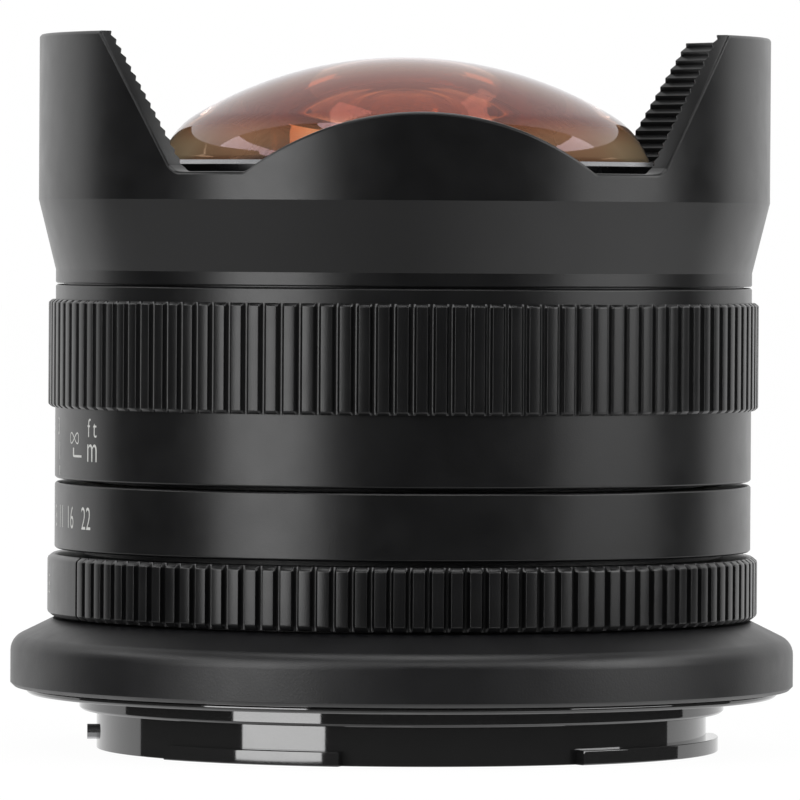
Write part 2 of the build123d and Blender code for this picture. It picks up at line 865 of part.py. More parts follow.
def finger_screws():
    """Two grub screws from the aperture ring into its finger."""
    middle = (finger_low + finger_top) / 2
    one = grub(finger_screw_radius, finger_screw_root, ring_radius - groove_depth - grub_sink)
    return [turn(Pos(0, side, 0) * radial(one, middle, 0), finger_angle) for side in finger_sides()]


def helicoid_barrel():
    """Sliding barrel inside the nut, slotted for the keys and flanged for the hood."""
    body = turned(
        (helicoid_inner, helicoid_low),
        (thread_radius, helicoid_low),
        (thread_radius, helicoid_flange_low),
        (inner_flange_radius, helicoid_flange_low),
        (inner_flange_radius, tube_flange_low),
        (helicoid_inner, tube_flange_low),
    )
    slot_top = key_top + helicoid_foot
    slot_width = key_width + 2 * running_gap
    slot = Pos(thread_radius, 0, (helicoid_low - overrun + slot_top) / 2) * Box(
        2 * (thread_radius - helicoid_inner + overrun), slot_width, slot_top - helicoid_low + overrun
    )
    body = cut(body, [turn(slot, angle) for angle in key_angles])
    return cut(body, around(hood_screw_cutter(), hood_screw_circle, hood_screw_angles))


def hood_screw_cutter():
    """Counterbored hole for a hood screw, open to the rear."""
    head_low = helicoid_flange_low - overrun
    head_top = helicoid_flange_low + hood_screw_head_height + seat_gap
    shank_top = helicoid_flange_low + hood_screw_length + seat_gap
    shank = rod(hood_screw_radius + static_gap, head_low, shank_top)
    return shank + rod(hood_screw_head + static_gap, head_low, head_top)


def hood_screws():
    """Screws from behind through helicoid barrel and lens tube into the hood."""
    one = screw(hood_screw_radius, hood_screw_head, hood_screw_head_height, hood_screw_length)
    return around(Pos(0, 0, helicoid_flange_low) * one, hood_screw_circle, hood_screw_angles)


def lens_tube():
    """Tube, web and hub that carry the middle glass and the iris."""
    low = socket_top - tube_depth
    web_top = third_seat - tube_web_depth
    tube = turned(
        (tube_bore, low),
        (tube_radius, low),
        (tube_radius, tube_flange_low),
        (inner_flange_radius, tube_flange_low),
        (inner_flange_radius, socket_top),
        (tube_bore, socket_top),
    )
    cup_top = cell_low - cup_gap
    hub = turned(
        (core_radius - hub_lip, hub_low),
        (iris_radius, hub_low),
        (iris_radius, hub_low + hub_plate),
        (hub_radius, hub_low + hub_plate),
        (hub_radius, web_top - tube_web),
        (tube_bore, web_top - tube_web),
        (tube_bore, web_top),
        (cup_radius, web_top),
        (cup_radius, cup_top),
        (third_radius + static_gap, cup_top),
        (third_radius + static_gap, third_seat - seat_gap),
        (core_radius + static_gap, third_seat - seat_gap),
        (core_radius + static_gap, doublet_lip),
        (core_radius - hub_lip, doublet_lip),
    )
    tube = cut(tube + hub, around(hood_screw_cutter(), hood_screw_circle, hood_screw_angles))
    thread = rod(core_screw_radius + static_gap, hub_low - overrun, hub_low + core_screw_bite + seat_gap)
    return cut(tube, around(thread, core_screw_circle, core_screw_angles))


def petal_section(plane, outline):
    """Closed outline of a petal in a plane across its radius, from lists of (angle, height)."""
    edges = []
    for kind, places in outline:
        points = [(plane, plane * tan(radians(angle)), height) for angle, height in places]
        edges.append(kind(*points))
    return make_face(edges)


def petal_wedge(outline):
    """Wedge whose sides all point at the optical axis."""
    sections = [petal_section(hood_radius * share, outline) for share in petal_plane_shares]
    return loft(sections, ruled=True)


def small_petal_outline():
    """Low round petal: a circular arc as seen from its front."""
    centre = hood_floor + small_petal_rise - small_petal_curve
    foot = degrees(asin(sqrt(small_petal_curve**2 - (hood_floor - centre) ** 2) / hood_radius))
    angles = [foot * share for share in petal_shares]
    heights = [centre + sqrt(small_petal_curve**2 - (hood_radius * sin(radians(a))) ** 2) for a in angles]
    top = list(zip(angles, heights))
    return [(Spline, top), (Line, [top[-1], top[0]])]


def tall_petal_outline():
    """Tall petal: straight sides as seen from the side, blended into the floor."""
    rise = petal_height - tall_petal_foot_rise
    lean = (tall_petal_top - tall_petal_foot) / rise
    reach = rise + overrun

    def side(height):
        place = tall_petal_foot + lean * (height - hood_floor - tall_petal_foot_rise)
        return degrees(acos(place / hood_radius))

    foot = hood_floor + tall_petal_foot_rise
    heights = [foot + reach * share for share in petal_side_shares]
    edge = [(side(height), height) for height in heights]
    blend_start = degrees(acos((tall_petal_foot - tall_petal_blend) / hood_radius))
    blend = [(blend_start, hood_floor), (side(hood_floor), hood_floor), edge[0]]
    mirrored_edge = [(-angle, height) for angle, height in reversed(edge)]
    mirrored_blend = [(-angle, height) for angle, height in reversed(blend)]
    return [
        (Bezier, blend),
        (Spline, edge),
        (Line, [edge[-1], mirrored_edge[0]]),
        (Spline, mirrored_edge),
        (Bezier, mirrored_blend),
        (Line, [mirrored_blend[-1], blend[0]]),
    ]


def petal_wall():
    """Wall of all petals before they are cut out, ribbed inside against stray light."""
    lean = (petal_foot_wall - petal_top_wall) / petal_height
    count = int(petal_height / rib_pitch)
    inner = []
    for rib in range(count):
        tip = petal_top - rib * rib_pitch
        root = tip - rib_pitch / 2
        inner.append((hood_radius - petal_top_wall - lean * (petal_top - tip), tip))
        inner.append((hood_radius - petal_top_wall - lean * (petal_top - root) + rib_depth, root))
    inner.append((hood_radius - petal_foot_wall, hood_floor))
    return turned(
        (hood_radius, hood_floor),
        (hood_radius, petal_top - petal_top_chamfer),
        (hood_radius - petal_top_chamfer, petal_top),
        *inner,
    )


def petal_hood():
    """Hood with two tall and two low petals, each cut towards the axis."""
    body = turned(
        (inner_flange_radius + static_gap, hood_low),
        (hood_foot_radius - edge_break, hood_low),
        (hood_foot_radius, hood_low + edge_break),
        (hood_foot_radius, hood_cone_low),
        (hood_radius, hood_cone_top),
        (hood_radius, hood_floor),
        (hood_bore, hood_floor),
        (hood_bore, socket_top),
        (inner_flange_radius + static_gap, socket_top),
    )
    wall = petal_wall()
    tall = wall & petal_wedge(tall_petal_outline())
    small = wall & petal_wedge(small_petal_outline())
    for petal, angle in ((tall, 0), (tall, 180), (small, 90), (small, 270)):
        body += turn(petal, angle)
    return cut(body, around(hood_screw_cutter(), hood_screw_circle, hood_screw_angles))


def front_cell():
    """Cell that seats the dome and the second element."""
    return turned(
        (cell_lip_radius, cell_low),
        (tube_bore - static_gap, cell_low),
        (tube_bore - static_gap, socket_top),
        (cell_radius, socket_top),
        (cell_radius, hood_floor),
        (dome_seat_radius + static_gap, hood_floor),
        (dome_seat_radius + static_gap, dome_seat - seat_gap),
        (second_radius + static_gap, dome_seat - seat_gap),
        (second_radius + static_gap, second_seat - seat_gap),
        (cell_lip_radius, second_seat - seat_gap),
    )


def front_retaining_ring():
    """Bright-edged ring that holds the dome."""
    top = hood_floor + front_ring_height
    return ring(front_ring_radius, dome_edge_radius + static_gap, hood_floor, top, front_ring_chamfer)


def glass(top, thickness, front_curve, back_curve, edge, back_edge=None):
    """Element turned from its two round surfaces, with a flat seat behind a smaller back."""
    low = top - thickness
    back = back_edge or edge
    seat = low - sag(back_curve, back)
    outline = [
        Line((0, 0, low), (0, 0, top)),
        ThreePointArc(
            (0, 0, top),
            (edge / 2, 0, top - sag(front_curve, edge / 2)),
            (edge, 0, top - sag(front_curve, edge)),
        ),
        Line((edge, 0, top - sag(front_curve, edge)), (edge, 0, seat)),
        ThreePointArc((back, 0, seat), (back / 2, 0, low - sag(back_curve, back / 2)), (0, 0, low)),
    ]
    if back_edge:
        outline.append(Line((edge, 0, seat), (back, 0, seat)))
    return revolve(make_face(outline), Axis.Z)


def dome():
    """Front element: a bulging dome, a rounded edge and a hollow back."""
    low = dome_apex - dome_thickness
    clear_height = dome_apex - sag(dome_curve, dome_clear_radius)
    edge_top = hood_floor + front_ring_height
    bulge = (dome_edge_radius, 0, clear_height - dome_edge_bulge)
    half_clear = dome_clear_radius / 2
    half_back = dome_back_radius / 2
    outline = [
        Line((0, 0, low), (0, 0, dome_apex)),
        ThreePointArc(
            (0, 0, dome_apex),
            (half_clear, 0, dome_apex - sag(dome_curve, half_clear)),
            (dome_clear_radius, 0, clear_height),
        ),
        Bezier((dome_clear_radius, 0, clear_height), bulge, (dome_edge_radius, 0, edge_top)),
        Polyline(
            (dome_edge_radius, 0, edge_top),
            (dome_edge_radius, 0, hood_floor),
            (dome_seat_radius, 0, hood_floor),
            (dome_seat_radius, 0, dome_seat),
            (dome_back_radius, 0, dome_seat),
        ),
        ThreePointArc(
            (dome_back_radius, 0, dome_seat),
            (half_back, 0, low - sag(dome_back_curve, half_back)),
            (0, 0, low),
        ),
    ]
    return revolve(make_face(outline), Axis.Z)


def between(upper_low, upper_curve, lower_top, lower_curve, outer, wall):
    """Spacer ring between the back of one element and the front of the next."""
    inner = outer - wall
    top = min(upper_low - sag(upper_curve, inner), upper_low - sag(upper_curve, outer))
    low = max(lower_top - sag(lower_curve, inner), lower_top - sag(lower_curve, outer))
    return ring(outer, inner, low + seat_gap, top - seat_gap)


def front_spacer():
    """Ring between the third element and the flat back of the second."""
    low = third_top - sag(third_front_curve, third_radius - front_spacer_wall)
    inner = third_radius - front_spacer_wall
    return ring(third_radius, inner, low + seat_gap, second_seat - seat_gap)


def doublet_ring():
    """Ring that holds the front doublet in the hub."""
    low = fourth_top - sag(fourth_front_curve, core_radius - doublet_ring_wall)
    inner = core_radius - doublet_ring_wall
    return ring(core_radius, inner, low + seat_gap, third_seat - 2 * seat_gap)


def rear_spacer_1():
    """Spacer behind the sixth element."""
    return between(
        sixth_low, sixth_back_curve, seventh_top, seventh_front_curve, core_radius, spacer_wall
    )


def rear_spacer_2():
    """Spacer between the two rear doublets."""
    return between(eighth_low, eighth_back_curve, ninth_top, ninth_front_curve, core_radius, spacer_wall)


def rear_spacer_3():
    """Spacer before the last element."""
    return between(
        tenth_low, tenth_back_curve, eleventh_top, eleventh_front_curve, core_radius, spacer_wall
    )


def rear_cell():
    """Tube of the rear glass, with the flange that closes the iris housing."""
    tube = core_radius + static_gap
    wall = tube + rear_cell_wall
    lip_top = sixth_top - sag(sixth_front_curve, core_radius - rear_lip) + seat_gap
    cell = turned(
        (tube, rear_cell_low),
        (wall, rear_cell_low),
        (wall, rear_flange_low),
        (iris_radius, rear_flange_low),
        (iris_radius, rear_flange_top),
        (core_radius - rear_lip, rear_flange_top),
        (core_radius - rear_lip, lip_top),
        (tube, lip_top),
    )
    hole = rod(core_screw_radius + static_gap, rear_flange_low - overrun, rear_flange_top + overrun)
    return cut(cell, around(hole, core_screw_circle, core_screw_angles))


def rear_retaining_ring():
    """Ring that closes the rear cell."""
    inner = core_radius - rear_ring_wall
    top = eleventh_low - sag(eleventh_back_curve, inner) - seat_gap
    return ring(core_radius, inner, rear_cell_low, top)


def core_screws():
    """Screws from the rear cell's flange through the iris housing into the hub."""
    length = core_screw_head_height + hub_low + core_screw_bite - rear_flange_low
    one = screw(core_screw_radius, core_screw_head, core_screw_head_height, length)
    low = rear_flange_low - core_screw_head_height
    return around(Pos(0, 0, low) * one, core_screw_circle, core_screw_angles)


def iris_housing():
    """Cup with the blade pivots in its front plate and a window for the lever."""
    cup = turned(
        (iris_bore, rear_flange_top),
        (iris_radius, rear_flange_top),
        (iris_radius, hub_low),
        (iris_opening, hub_low),
        (iris_opening, iris_roof),
        (iris_bore, iris_roof),
    )
    pivot = rod(pivot_radius + running_gap, iris_roof - overrun, hub_low + overrun)
    angles = [360 * blade / blade_count for blade in range(blade_count)]
    cup = cut(cup, around(pivot, pivot_circle, angles))
    hole = rod(core_screw_radius + static_gap, rear_flange_top - overrun, hub_low + overrun)
    cup = cut(cup, around(hole, core_screw_circle, core_screw_angles))
    half = degrees((lever_width / 2 + lever_margin) / iris_bore)
    return cup - sector(
        iris_radius + overrun, iris_bore - overrun / 2, rear_flange_top - overrun,
        cam_low + lever_thickness + end_float,
        finger_angle + aperture_to_open - half, finger_angle + aperture_to_closed + half,
    )


def drive_place(ring_turn):
    """Where the first blade's drive pin is, as seen from the cam ring at rest."""
    share = (ring_turn - aperture_to_open) / (aperture_to_closed - aperture_to_open)
    angle = radians(blade_turn * share)
    place_x = pivot_circle - drive_offset * sin(angle)
    place_y = drive_offset * cos(angle)
    back = radians(-ring_turn)
    return (
        place_x * cos(back) - place_y * sin(back),
        place_x * sin(back) + place_y * cos(back),
    )


def iris_cam_ring():
    """Ring with twelve spiral slots that swing the blades together."""
    cam = ring(iris_bore - running_gap, cam_inner, cam_low, cam_top)
    middle = (aperture_to_open + aperture_to_closed) / 2
    path = ThreePointArc(
        drive_place(aperture_to_open), drive_place(middle), drive_place(aperture_to_closed)
    )
    slot = Pos(0, 0, cam_low - overrun) * extrude(SlotArc(path, cam_slot), cam_thickness + 2 * overrun)
    cam = cut(cam, [turn(slot, 360 * blade / blade_count) for blade in range(blade_count)])
    pocket = Pos(iris_bore, 0, cam_low) * Box(
        2 * (iris_bore - lever_root), lever_width + 2 * static_gap, 2 * (lever_thickness + seat_gap)
    )
    return cam - turn(pocket, finger_angle)


def iris_lever():
    """Arm on the cam ring with a long bar back to the finger."""
    root = lever_root + static_gap
    arm = Pos((root + lever_bar_outer) / 2, 0, cam_low + lever_thickness / 2) * Box(
        lever_bar_outer - root, lever_width, lever_thickness
    )
    low = finger_low - lever_overhang
    bar = Pos((lever_bar_inner + lever_bar_outer) / 2, 0, (low + cam_low) / 2) * Box(
        lever_bar_outer - lever_bar_inner, lever_bar_width, cam_low - low
    )
    return turn(arm + bar, finger_angle)


def blade_face():
    """Outline of a blade wide open: a curved band and the ear that holds its two pins."""
    band = sector(blade_outer, blade_inner, 0, blade_thickness, *blade_span)
    roots = [Pos(*polar(ear_root_circle, angle)) * Circle(ear_radius) for angle in ear_root_angles]
    bosses = [Pos(pivot_circle, side) * Circle(ear_radius) for side in (0, drive_offset)]
    outline = [edge for disc in roots + bosses for edge in disc.edges()]
    return band + extrude(make_hull(outline), blade_thickness)


def iris_blade(number):
    """Blade with its pivot pin to the front and its drive pin to the rear."""
    height = blade_low + number * blade_pitch
    pivot = Pos(pivot_circle, 0, 0) * rod(pivot_radius, height, hub_low - pivot_recess)
    drive = Pos(pivot_circle, drive_offset, 0) * rod(pivot_radius, cam_low + drive_recess, height)
    blade = Pos(0, 0, height) * blade_face() + pivot + drive
    rest = blade_turn * aperture_to_open / (aperture_to_open - aperture_to_closed)
    swung = Pos(pivot_circle, 0, 0) * Rotation(0, 0, rest) * Pos(-pivot_circle, 0, 0) * blade
    return turn(swung, 360 * number / blade_count)


def elements():
    """All glass, front to rear."""
    return [
        dome(),
        glass(second_top, second_thickness, second_front_curve, second_back_curve, second_radius,
              second_back_radius),
        glass(third_top, third_thickness, third_front_curve, third_back_curve, third_radius,
              third_back_radius),
        glass(fourth_top, fourth_thickness - cement_layer, fourth_front_curve, fifth_front_curve,
              core_radius),
        glass(fifth_top, fifth_thickness, fifth_front_curve, fifth_back_curve, core_radius),
        glass(sixth_top, sixth_thickness, sixth_front_curve, sixth_back_curve, core_radius),
        glass(seventh_top, seventh_thickness - cement_layer, seventh_front_curve, eighth_front_curve,
              core_radius),
        glass(eighth_top, eighth_thickness, eighth_front_curve, eighth_back_curve, core_radius),
        glass(ninth_top, ninth_thickness - cement_layer, ninth_front_curve, tenth_front_curve, core_radius),
        glass(tenth_top, tenth_thickness, tenth_front_curve, tenth_back_curve, core_radius),
        glass(eleventh_top, eleventh_thickness, eleventh_front_curve, eleventh_back_curve, core_radius),
    ]


def save(name, made):
    """Write one node: a group of separate solids stays one node."""
    solids = made if isinstance(made, list) else [made]
    shape = solids[0] if len(solids) == 1 else Compound(children=solids)
    export_step(shape, f"parts/{name}.step")


os.makedirs("parts", exist_ok=True)

for make in (
    bayonet_mount, mount_screws, bayonet_stop_pin, mount_shim, rear_baffle, baffle_screws, mount_skirt,
    fixed_barrel, scale_band, band_screws, guide_keys, focus_stop_pin,
    focus_ring, helicoid_nut, focus_ring_screws, focus_retainer_halves, retainer_screws,
    aperture_ring, aperture_finger, finger_screws,
    petal_hood, hood_screws, front_cell, front_retaining_ring, helicoid_barrel, lens_tube,
    front_spacer, doublet_ring, rear_spacer_1, rear_spacer_2, rear_spacer_3,
    rear_cell, rear_retaining_ring, core_screws, iris_housing, iris_cam_ring, iris_lever,
):
    save(make.__name__, make())

for place, element in enumerate(elements(), start=1):
    save(f"element_{place:02d}", element)

for number in range(blade_count):
    save(f"iris_blade_{number + 1:02d}", iris_blade(number))
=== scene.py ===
"""Looks of a manual-focus fisheye lens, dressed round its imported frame."""

import json
import logging
import math
from dataclasses import dataclass, field
from enum import Enum
from functools import partial
from typing import Iterable, Sequence

import bmesh
import bpy
from bpy.types import ID, Material, Mesh, Node, NodeSocket, NodeTree, Object
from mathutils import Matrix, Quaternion, Vector


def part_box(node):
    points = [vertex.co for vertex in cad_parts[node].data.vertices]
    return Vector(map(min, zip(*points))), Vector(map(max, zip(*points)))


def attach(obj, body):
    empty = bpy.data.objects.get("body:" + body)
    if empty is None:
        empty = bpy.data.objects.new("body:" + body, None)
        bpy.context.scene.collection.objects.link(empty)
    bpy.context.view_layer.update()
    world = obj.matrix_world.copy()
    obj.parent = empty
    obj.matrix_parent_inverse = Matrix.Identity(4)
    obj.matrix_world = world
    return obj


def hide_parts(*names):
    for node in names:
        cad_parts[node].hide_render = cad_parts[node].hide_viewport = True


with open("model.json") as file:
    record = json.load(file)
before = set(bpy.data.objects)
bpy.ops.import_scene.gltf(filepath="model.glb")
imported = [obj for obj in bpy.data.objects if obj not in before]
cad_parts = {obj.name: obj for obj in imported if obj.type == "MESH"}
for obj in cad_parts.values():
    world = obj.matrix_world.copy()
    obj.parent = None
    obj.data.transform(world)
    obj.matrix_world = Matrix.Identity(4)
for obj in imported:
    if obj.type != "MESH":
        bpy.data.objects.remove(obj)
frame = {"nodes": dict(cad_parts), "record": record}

log = logging.getLogger("lens")

MM = 0.001
# Points nearer to each other than this become one, within a piece and where teeth meet
WELD = MM * 0.0005
TOOTH_WELD = MM * 0.002
Point = tuple[float, float]


@dataclass(frozen=True)
class Span:
    """Largest radius and the two ends of a piece along the optical axis, in millimetres."""

    radius: float
    low: float
    high: float


def span(node: str) -> Span:
    """Read a CAD node's size from the frame.

    Args:
        node: Name of the CAD node.

    Returns:
        Its radius and its ends.
    """
    low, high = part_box(node)
    radius = max(abs(low.x), abs(low.y), high.x, high.y)
    return Span(radius / MM, low.z / MM, high.z / MM)


def linear(code: str) -> tuple[float, float, float, float]:
    """Turn an sRGB hex colour into linear values.

    Args:
        code: Colour such as "#202224".

    Returns:
        Red, green, blue and an alpha of one.
    """
    parts = [int(code[i : i + 2], 16) / 255 for i in (1, 3, 5)]
    values = [p / 12.92 if p <= 0.04045 else ((p + 0.055) / 1.055) ** 2.4 for p in parts]
    return (*values, 1.0)


def add(tree: NodeTree, kind: str, links: dict | tuple = (), **settings: object) -> Node:
    """Add a node with its settings, its constant inputs and its links.

    Args:
        tree: Node tree that gets the node.
        kind: Blender's type name of the node.
        links: What goes into the inputs, by name or number, or in their order. Each is a constant,
            an output socket, or a node that gives its first output.
        settings: Properties of the node itself.

    Returns:
        The new node.
    """
    node = tree.nodes.new(kind)
    for name, value in settings.items():
        setattr(node, name, value)
    for name, value in links.items() if isinstance(links, dict) else enumerate(links):
        if isinstance(value, Node):
            value = value.outputs[0]
        if isinstance(value, NodeSocket):
            tree.links.new(value, node.inputs[name])
        else:
            node.inputs[name].default_value = value
    return node


def new_material(name: str) -> tuple[Material, NodeTree]:
    """Make a node material without nodes.

    Args:
        name: Name of the material.

    Returns:
        The material and its empty node tree.
    """
    material = bpy.data.materials.new(name)
    material.use_nodes = True
    material.node_tree.nodes.clear()
    return material, material.node_tree


def varied(tree: NodeTree, noise: Node, low: float, high: float) -> Node:
    """Spread the middle of a noise, from 0.3 to 0.7, over the range from low to high."""
    return add(tree, "ShaderNodeMapRange", (noise, 0.3, 0.7, low, high))


def toned(tree: NodeTree, colour: str, tone: Node) -> Node:
    """Scale a colour by a tone."""
    return add(tree, "ShaderNodeVectorMath", {0: linear(colour)[:3], "Scale": tone}, operation="SCALE")


def axis_distance(tree: NodeTree, where: NodeSocket) -> NodeSocket:
    """Distance of a place from the optical axis."""
    level = add(tree, "ShaderNodeVectorMath", (where, (1.0, 1.0, 0.0)), operation="MULTIPLY")
    return add(tree, "ShaderNodeVectorMath", (level,), operation="LENGTH").outputs["Value"]


def polar(radius: float, angle: float, height: float) -> Vector:
    """Point on a circle round the optical axis, from millimetres and degrees to metres."""
    turn = math.radians(angle)
    return Vector((radius * math.cos(turn), radius * math.sin(turn), height)) * MM


def softened(outline: Sequence[Point], size: float, most: float = 0.4) -> list[Point]:
    """Round every corner of a closed outline a little, so that edges catch the light.

    Args:
        outline: Corners as (radius, height).
        size: How far from a corner the rounding starts, in millimetres.
        most: Largest share of an edge that the rounding of one corner may take.

    Returns:
        The outline with four points at each corner.
    """
    rounded: list[Point] = []
    count = len(outline)
    for place, corner in enumerate(outline):
        here = Vector(corner)
        before = Vector(outline[place - 1]) - here
        after = Vector(outline[(place + 1) % count]) - here
        reach = min(size, most * before.length, most * after.length)
        start = here + before.normalized() * reach
        end = here + after.normalized() * reach
        for share in (0, 1 / 3, 2 / 3, 1):
            near, far = (1 - share) ** 2, share**2
            rounded.append(tuple(near * start + (1 - near - far) * here + far * end))
    return rounded


def linked(name: str, data: ID) -> Object:
    """Make an object and link it to the scene.

    Args:
        name: Name of the object.
        data: Its mesh, curve, lamp or camera.

    Returns:
        The object, at the origin.
    """
    thing = bpy.data.objects.new(name, data)
    bpy.context.scene.collection.objects.link(thing)
    return thing


def raw_mesh(name: str, points: Iterable[Sequence[float]], faces: Iterable[Sequence[int]]) -> Mesh:
    """Make a mesh as it is given.

    Args:
        name: Name of the mesh.
        points: Its corners.
        faces: Corner numbers of each face.

    Returns:
        The mesh.
    """
    mesh = bpy.data.meshes.new(name)
    mesh.from_pydata([tuple(p) for p in points], [], [tuple(f) for f in faces])
    return mesh


def grid_faces(columns: int, rows: int, round_axis: bool = True, closed: bool = True) -> list[Sequence[int]]:
    """Faces between neighbouring columns of points.

    Args:
        columns: Number of columns.
        rows: Number of points in a column.
        round_axis: Whether the last column meets the first.
        closed: Whether the last point of a column meets its first.

    Returns:
        Four corner numbers of each face.
    """
    faces: list[Sequence[int]] = []
    for column in range(columns if round_axis else columns - 1):
        here, there = column * rows, (column + 1) % columns * rows
        for row in range(rows if closed else rows - 1):
            following = (row + 1) % rows
            faces.append((here + row, there + row, there + following, here + following))
    return faces


def made_object(name: str, points: Iterable[Vector], faces: Iterable[Sequence[int]]) -> Object:
    """Make a mesh object whose place is in its mesh, with clean outward faces.

    Args:
        name: Name of the piece.
        points: Corners in metres.
        faces: Corner numbers of each face.

    Returns:
        The object, linked to the scene.
    """
    mesh = raw_mesh(name, points, faces)
    work = bmesh.new()
    work.from_mesh(mesh)
    bmesh.ops.remove_doubles(work, verts=work.verts, dist=WELD)
    bmesh.ops.dissolve_degenerate(work, edges=work.edges, dist=WELD)
    bmesh.ops.recalc_face_normals(work, faces=work.faces)
    work.to_mesh(mesh)
    work.free()
    return linked(name, mesh)


def evaluated_mesh(thing: Object) -> Mesh:
    """Make a plain mesh of what an object's modifiers or curves come to.

    Args:
        thing: Object with live modifiers or a curve.

    Returns:
        The mesh, of its own.
    """
    bpy.context.view_layer.update()
    graph = bpy.context.evaluated_depsgraph_get()
    return bpy.data.meshes.new_from_object(thing.evaluated_get(graph))


def applied(piece: Object) -> None:
    """Turn a piece's live modifiers into its plain mesh.

    Args:
        piece: Mesh object with modifiers.
    """
    mesh = evaluated_mesh(piece)
    piece.modifiers.clear()
    piece.data = mesh


def shade(piece: Object, sharp_angle: float = 38.0) -> None:
    """Shade a piece smoothly, except over its sharp edges.

    Args:
        piece: Plain mesh object.
        sharp_angle: Angle in degrees past which an edge stays sharp.
    """
    piece.data.shade_smooth()
    piece.data.set_sharp_from_angle(angle=math.radians(sharp_angle))
    weights = piece.modifiers.new("flat_walls", "WEIGHTED_NORMAL")
    weights.keep_sharp = True
    applied(piece)


def lathe(
    name: str, outline: Sequence[Point], start: float = 0.0, end: float = 360.0, steps: int = 288
) -> Object:
    """Turn a closed outline round the optical axis, and close its ends if it isn't a full ring.

    Args:
        name: Name of the piece.
        outline: Corners as (radius, height) in millimetres.
        start: First angle in degrees.
        end: Last angle in degrees.
        steps: Number of steps between them.

    Returns:
        The turned piece.
    """
    full = end - start >= 360.0
    columns = steps if full else steps + 1
    count = len(outline)
    points = [
        polar(radius, start + (end - start) * column / steps, height)
        for column in range(columns)
        for radius, height in outline
    ]
    faces = grid_faces(columns, count, full)
    if not full:
        faces += [range(count), range((columns - 1) * count, columns * count)]
    piece = made_object(name, points, faces)
    shade(piece)
    return piece


def joined(pieces: Sequence[Object], name: str) -> Object:
    """Join pieces of one body into a single piece.

    Args:
        pieces: Objects at the origin.
        name: Name of the result.

    Returns:
        The joined object.
    """
    work = bmesh.new()
    materials = list(dict.fromkeys(material for piece in pieces for material in piece.data.materials))
    for piece in pieces:
        first = len(work.faces)
        work.from_mesh(piece.data)
        work.faces.ensure_lookup_table()
        own = [materials.index(material) for material in piece.data.materials]
        for face in work.faces[first:]:
            face.material_index = own[face.material_index] if own else 0
        bpy.data.objects.remove(piece)
    mesh = bpy.data.meshes.new(name)
    work.to_mesh(mesh)
    work.free()
    for material in materials:
        mesh.materials.append(material)
    result = linked(name, mesh)
    shade(result)
    return result


class Grain(Enum):
    """How a surface was worked, which sets its bump."""

    BLASTED = "blasted"
    TURNED = "turned"
    POLISHED = "polished"


@dataclass(frozen=True)
class Metal:
    """Anodised, painted, plated or bare metal, with a fine grain and broad patches of tone and gloss."""

    name: str
    colour: str
    metallic: float
    roughness: float
    grain: Grain = Grain.BLASTED
    grain_mm: float = 0.14
    depth: float = 0.10
    mottle: float = 0.25
    patch_grains: float = 22.0
    gloss_spread: float = 0.08
    line_squeeze: float = 14.0

    def build(self) -> Material:
        """Make the material.

        Returns:
            The node material, on Object coordinates.
        """
        material, tree = new_material(self.name)
        grain_place = place = add(tree, "ShaderNodeTexCoord").outputs["Object"]
        if self.grain is Grain.TURNED:
            squeeze = (1.0, 1.0, self.line_squeeze)
            grain_place = add(tree, "ShaderNodeMapping", {"Vector": place, "Scale": squeeze})
        per_metre = 1 / (self.grain_mm * MM)
        fine = add(tree, "ShaderNodeTexNoise", {"Vector": grain_place, "Scale": per_metre, "Detail": 2.0})
        broad = add(
            tree, "ShaderNodeTexNoise",
            {"Vector": place, "Scale": per_metre / self.patch_grains, "Detail": 3.0, "Roughness": 0.6},
        )
        spread = self.mottle / 2
        tones = tuple(varied(tree, noise, 1 - spread, 1 + spread) for noise in (broad, fine))
        both = add(tree, "ShaderNodeMath", tones, operation="MULTIPLY")
        least, most = (self.roughness * (1 + sign * self.gloss_spread) for sign in (-1, 1))
        look = {
            "Base Color": toned(tree, self.colour, both),
            "Metallic": self.metallic,
            "Roughness": varied(tree, broad, least, most),
        }
        if self.grain is not Grain.POLISHED:
            relief = {"Height": fine, "Strength": self.depth, "Distance": self.grain_mm * MM / 3}
            look["Normal"] = add(tree, "ShaderNodeBump", relief)
        shader = add(tree, "ShaderNodeBsdfPrincipled", look)
        add(tree, "ShaderNodeOutputMaterial", {"Surface": shader})
        return material


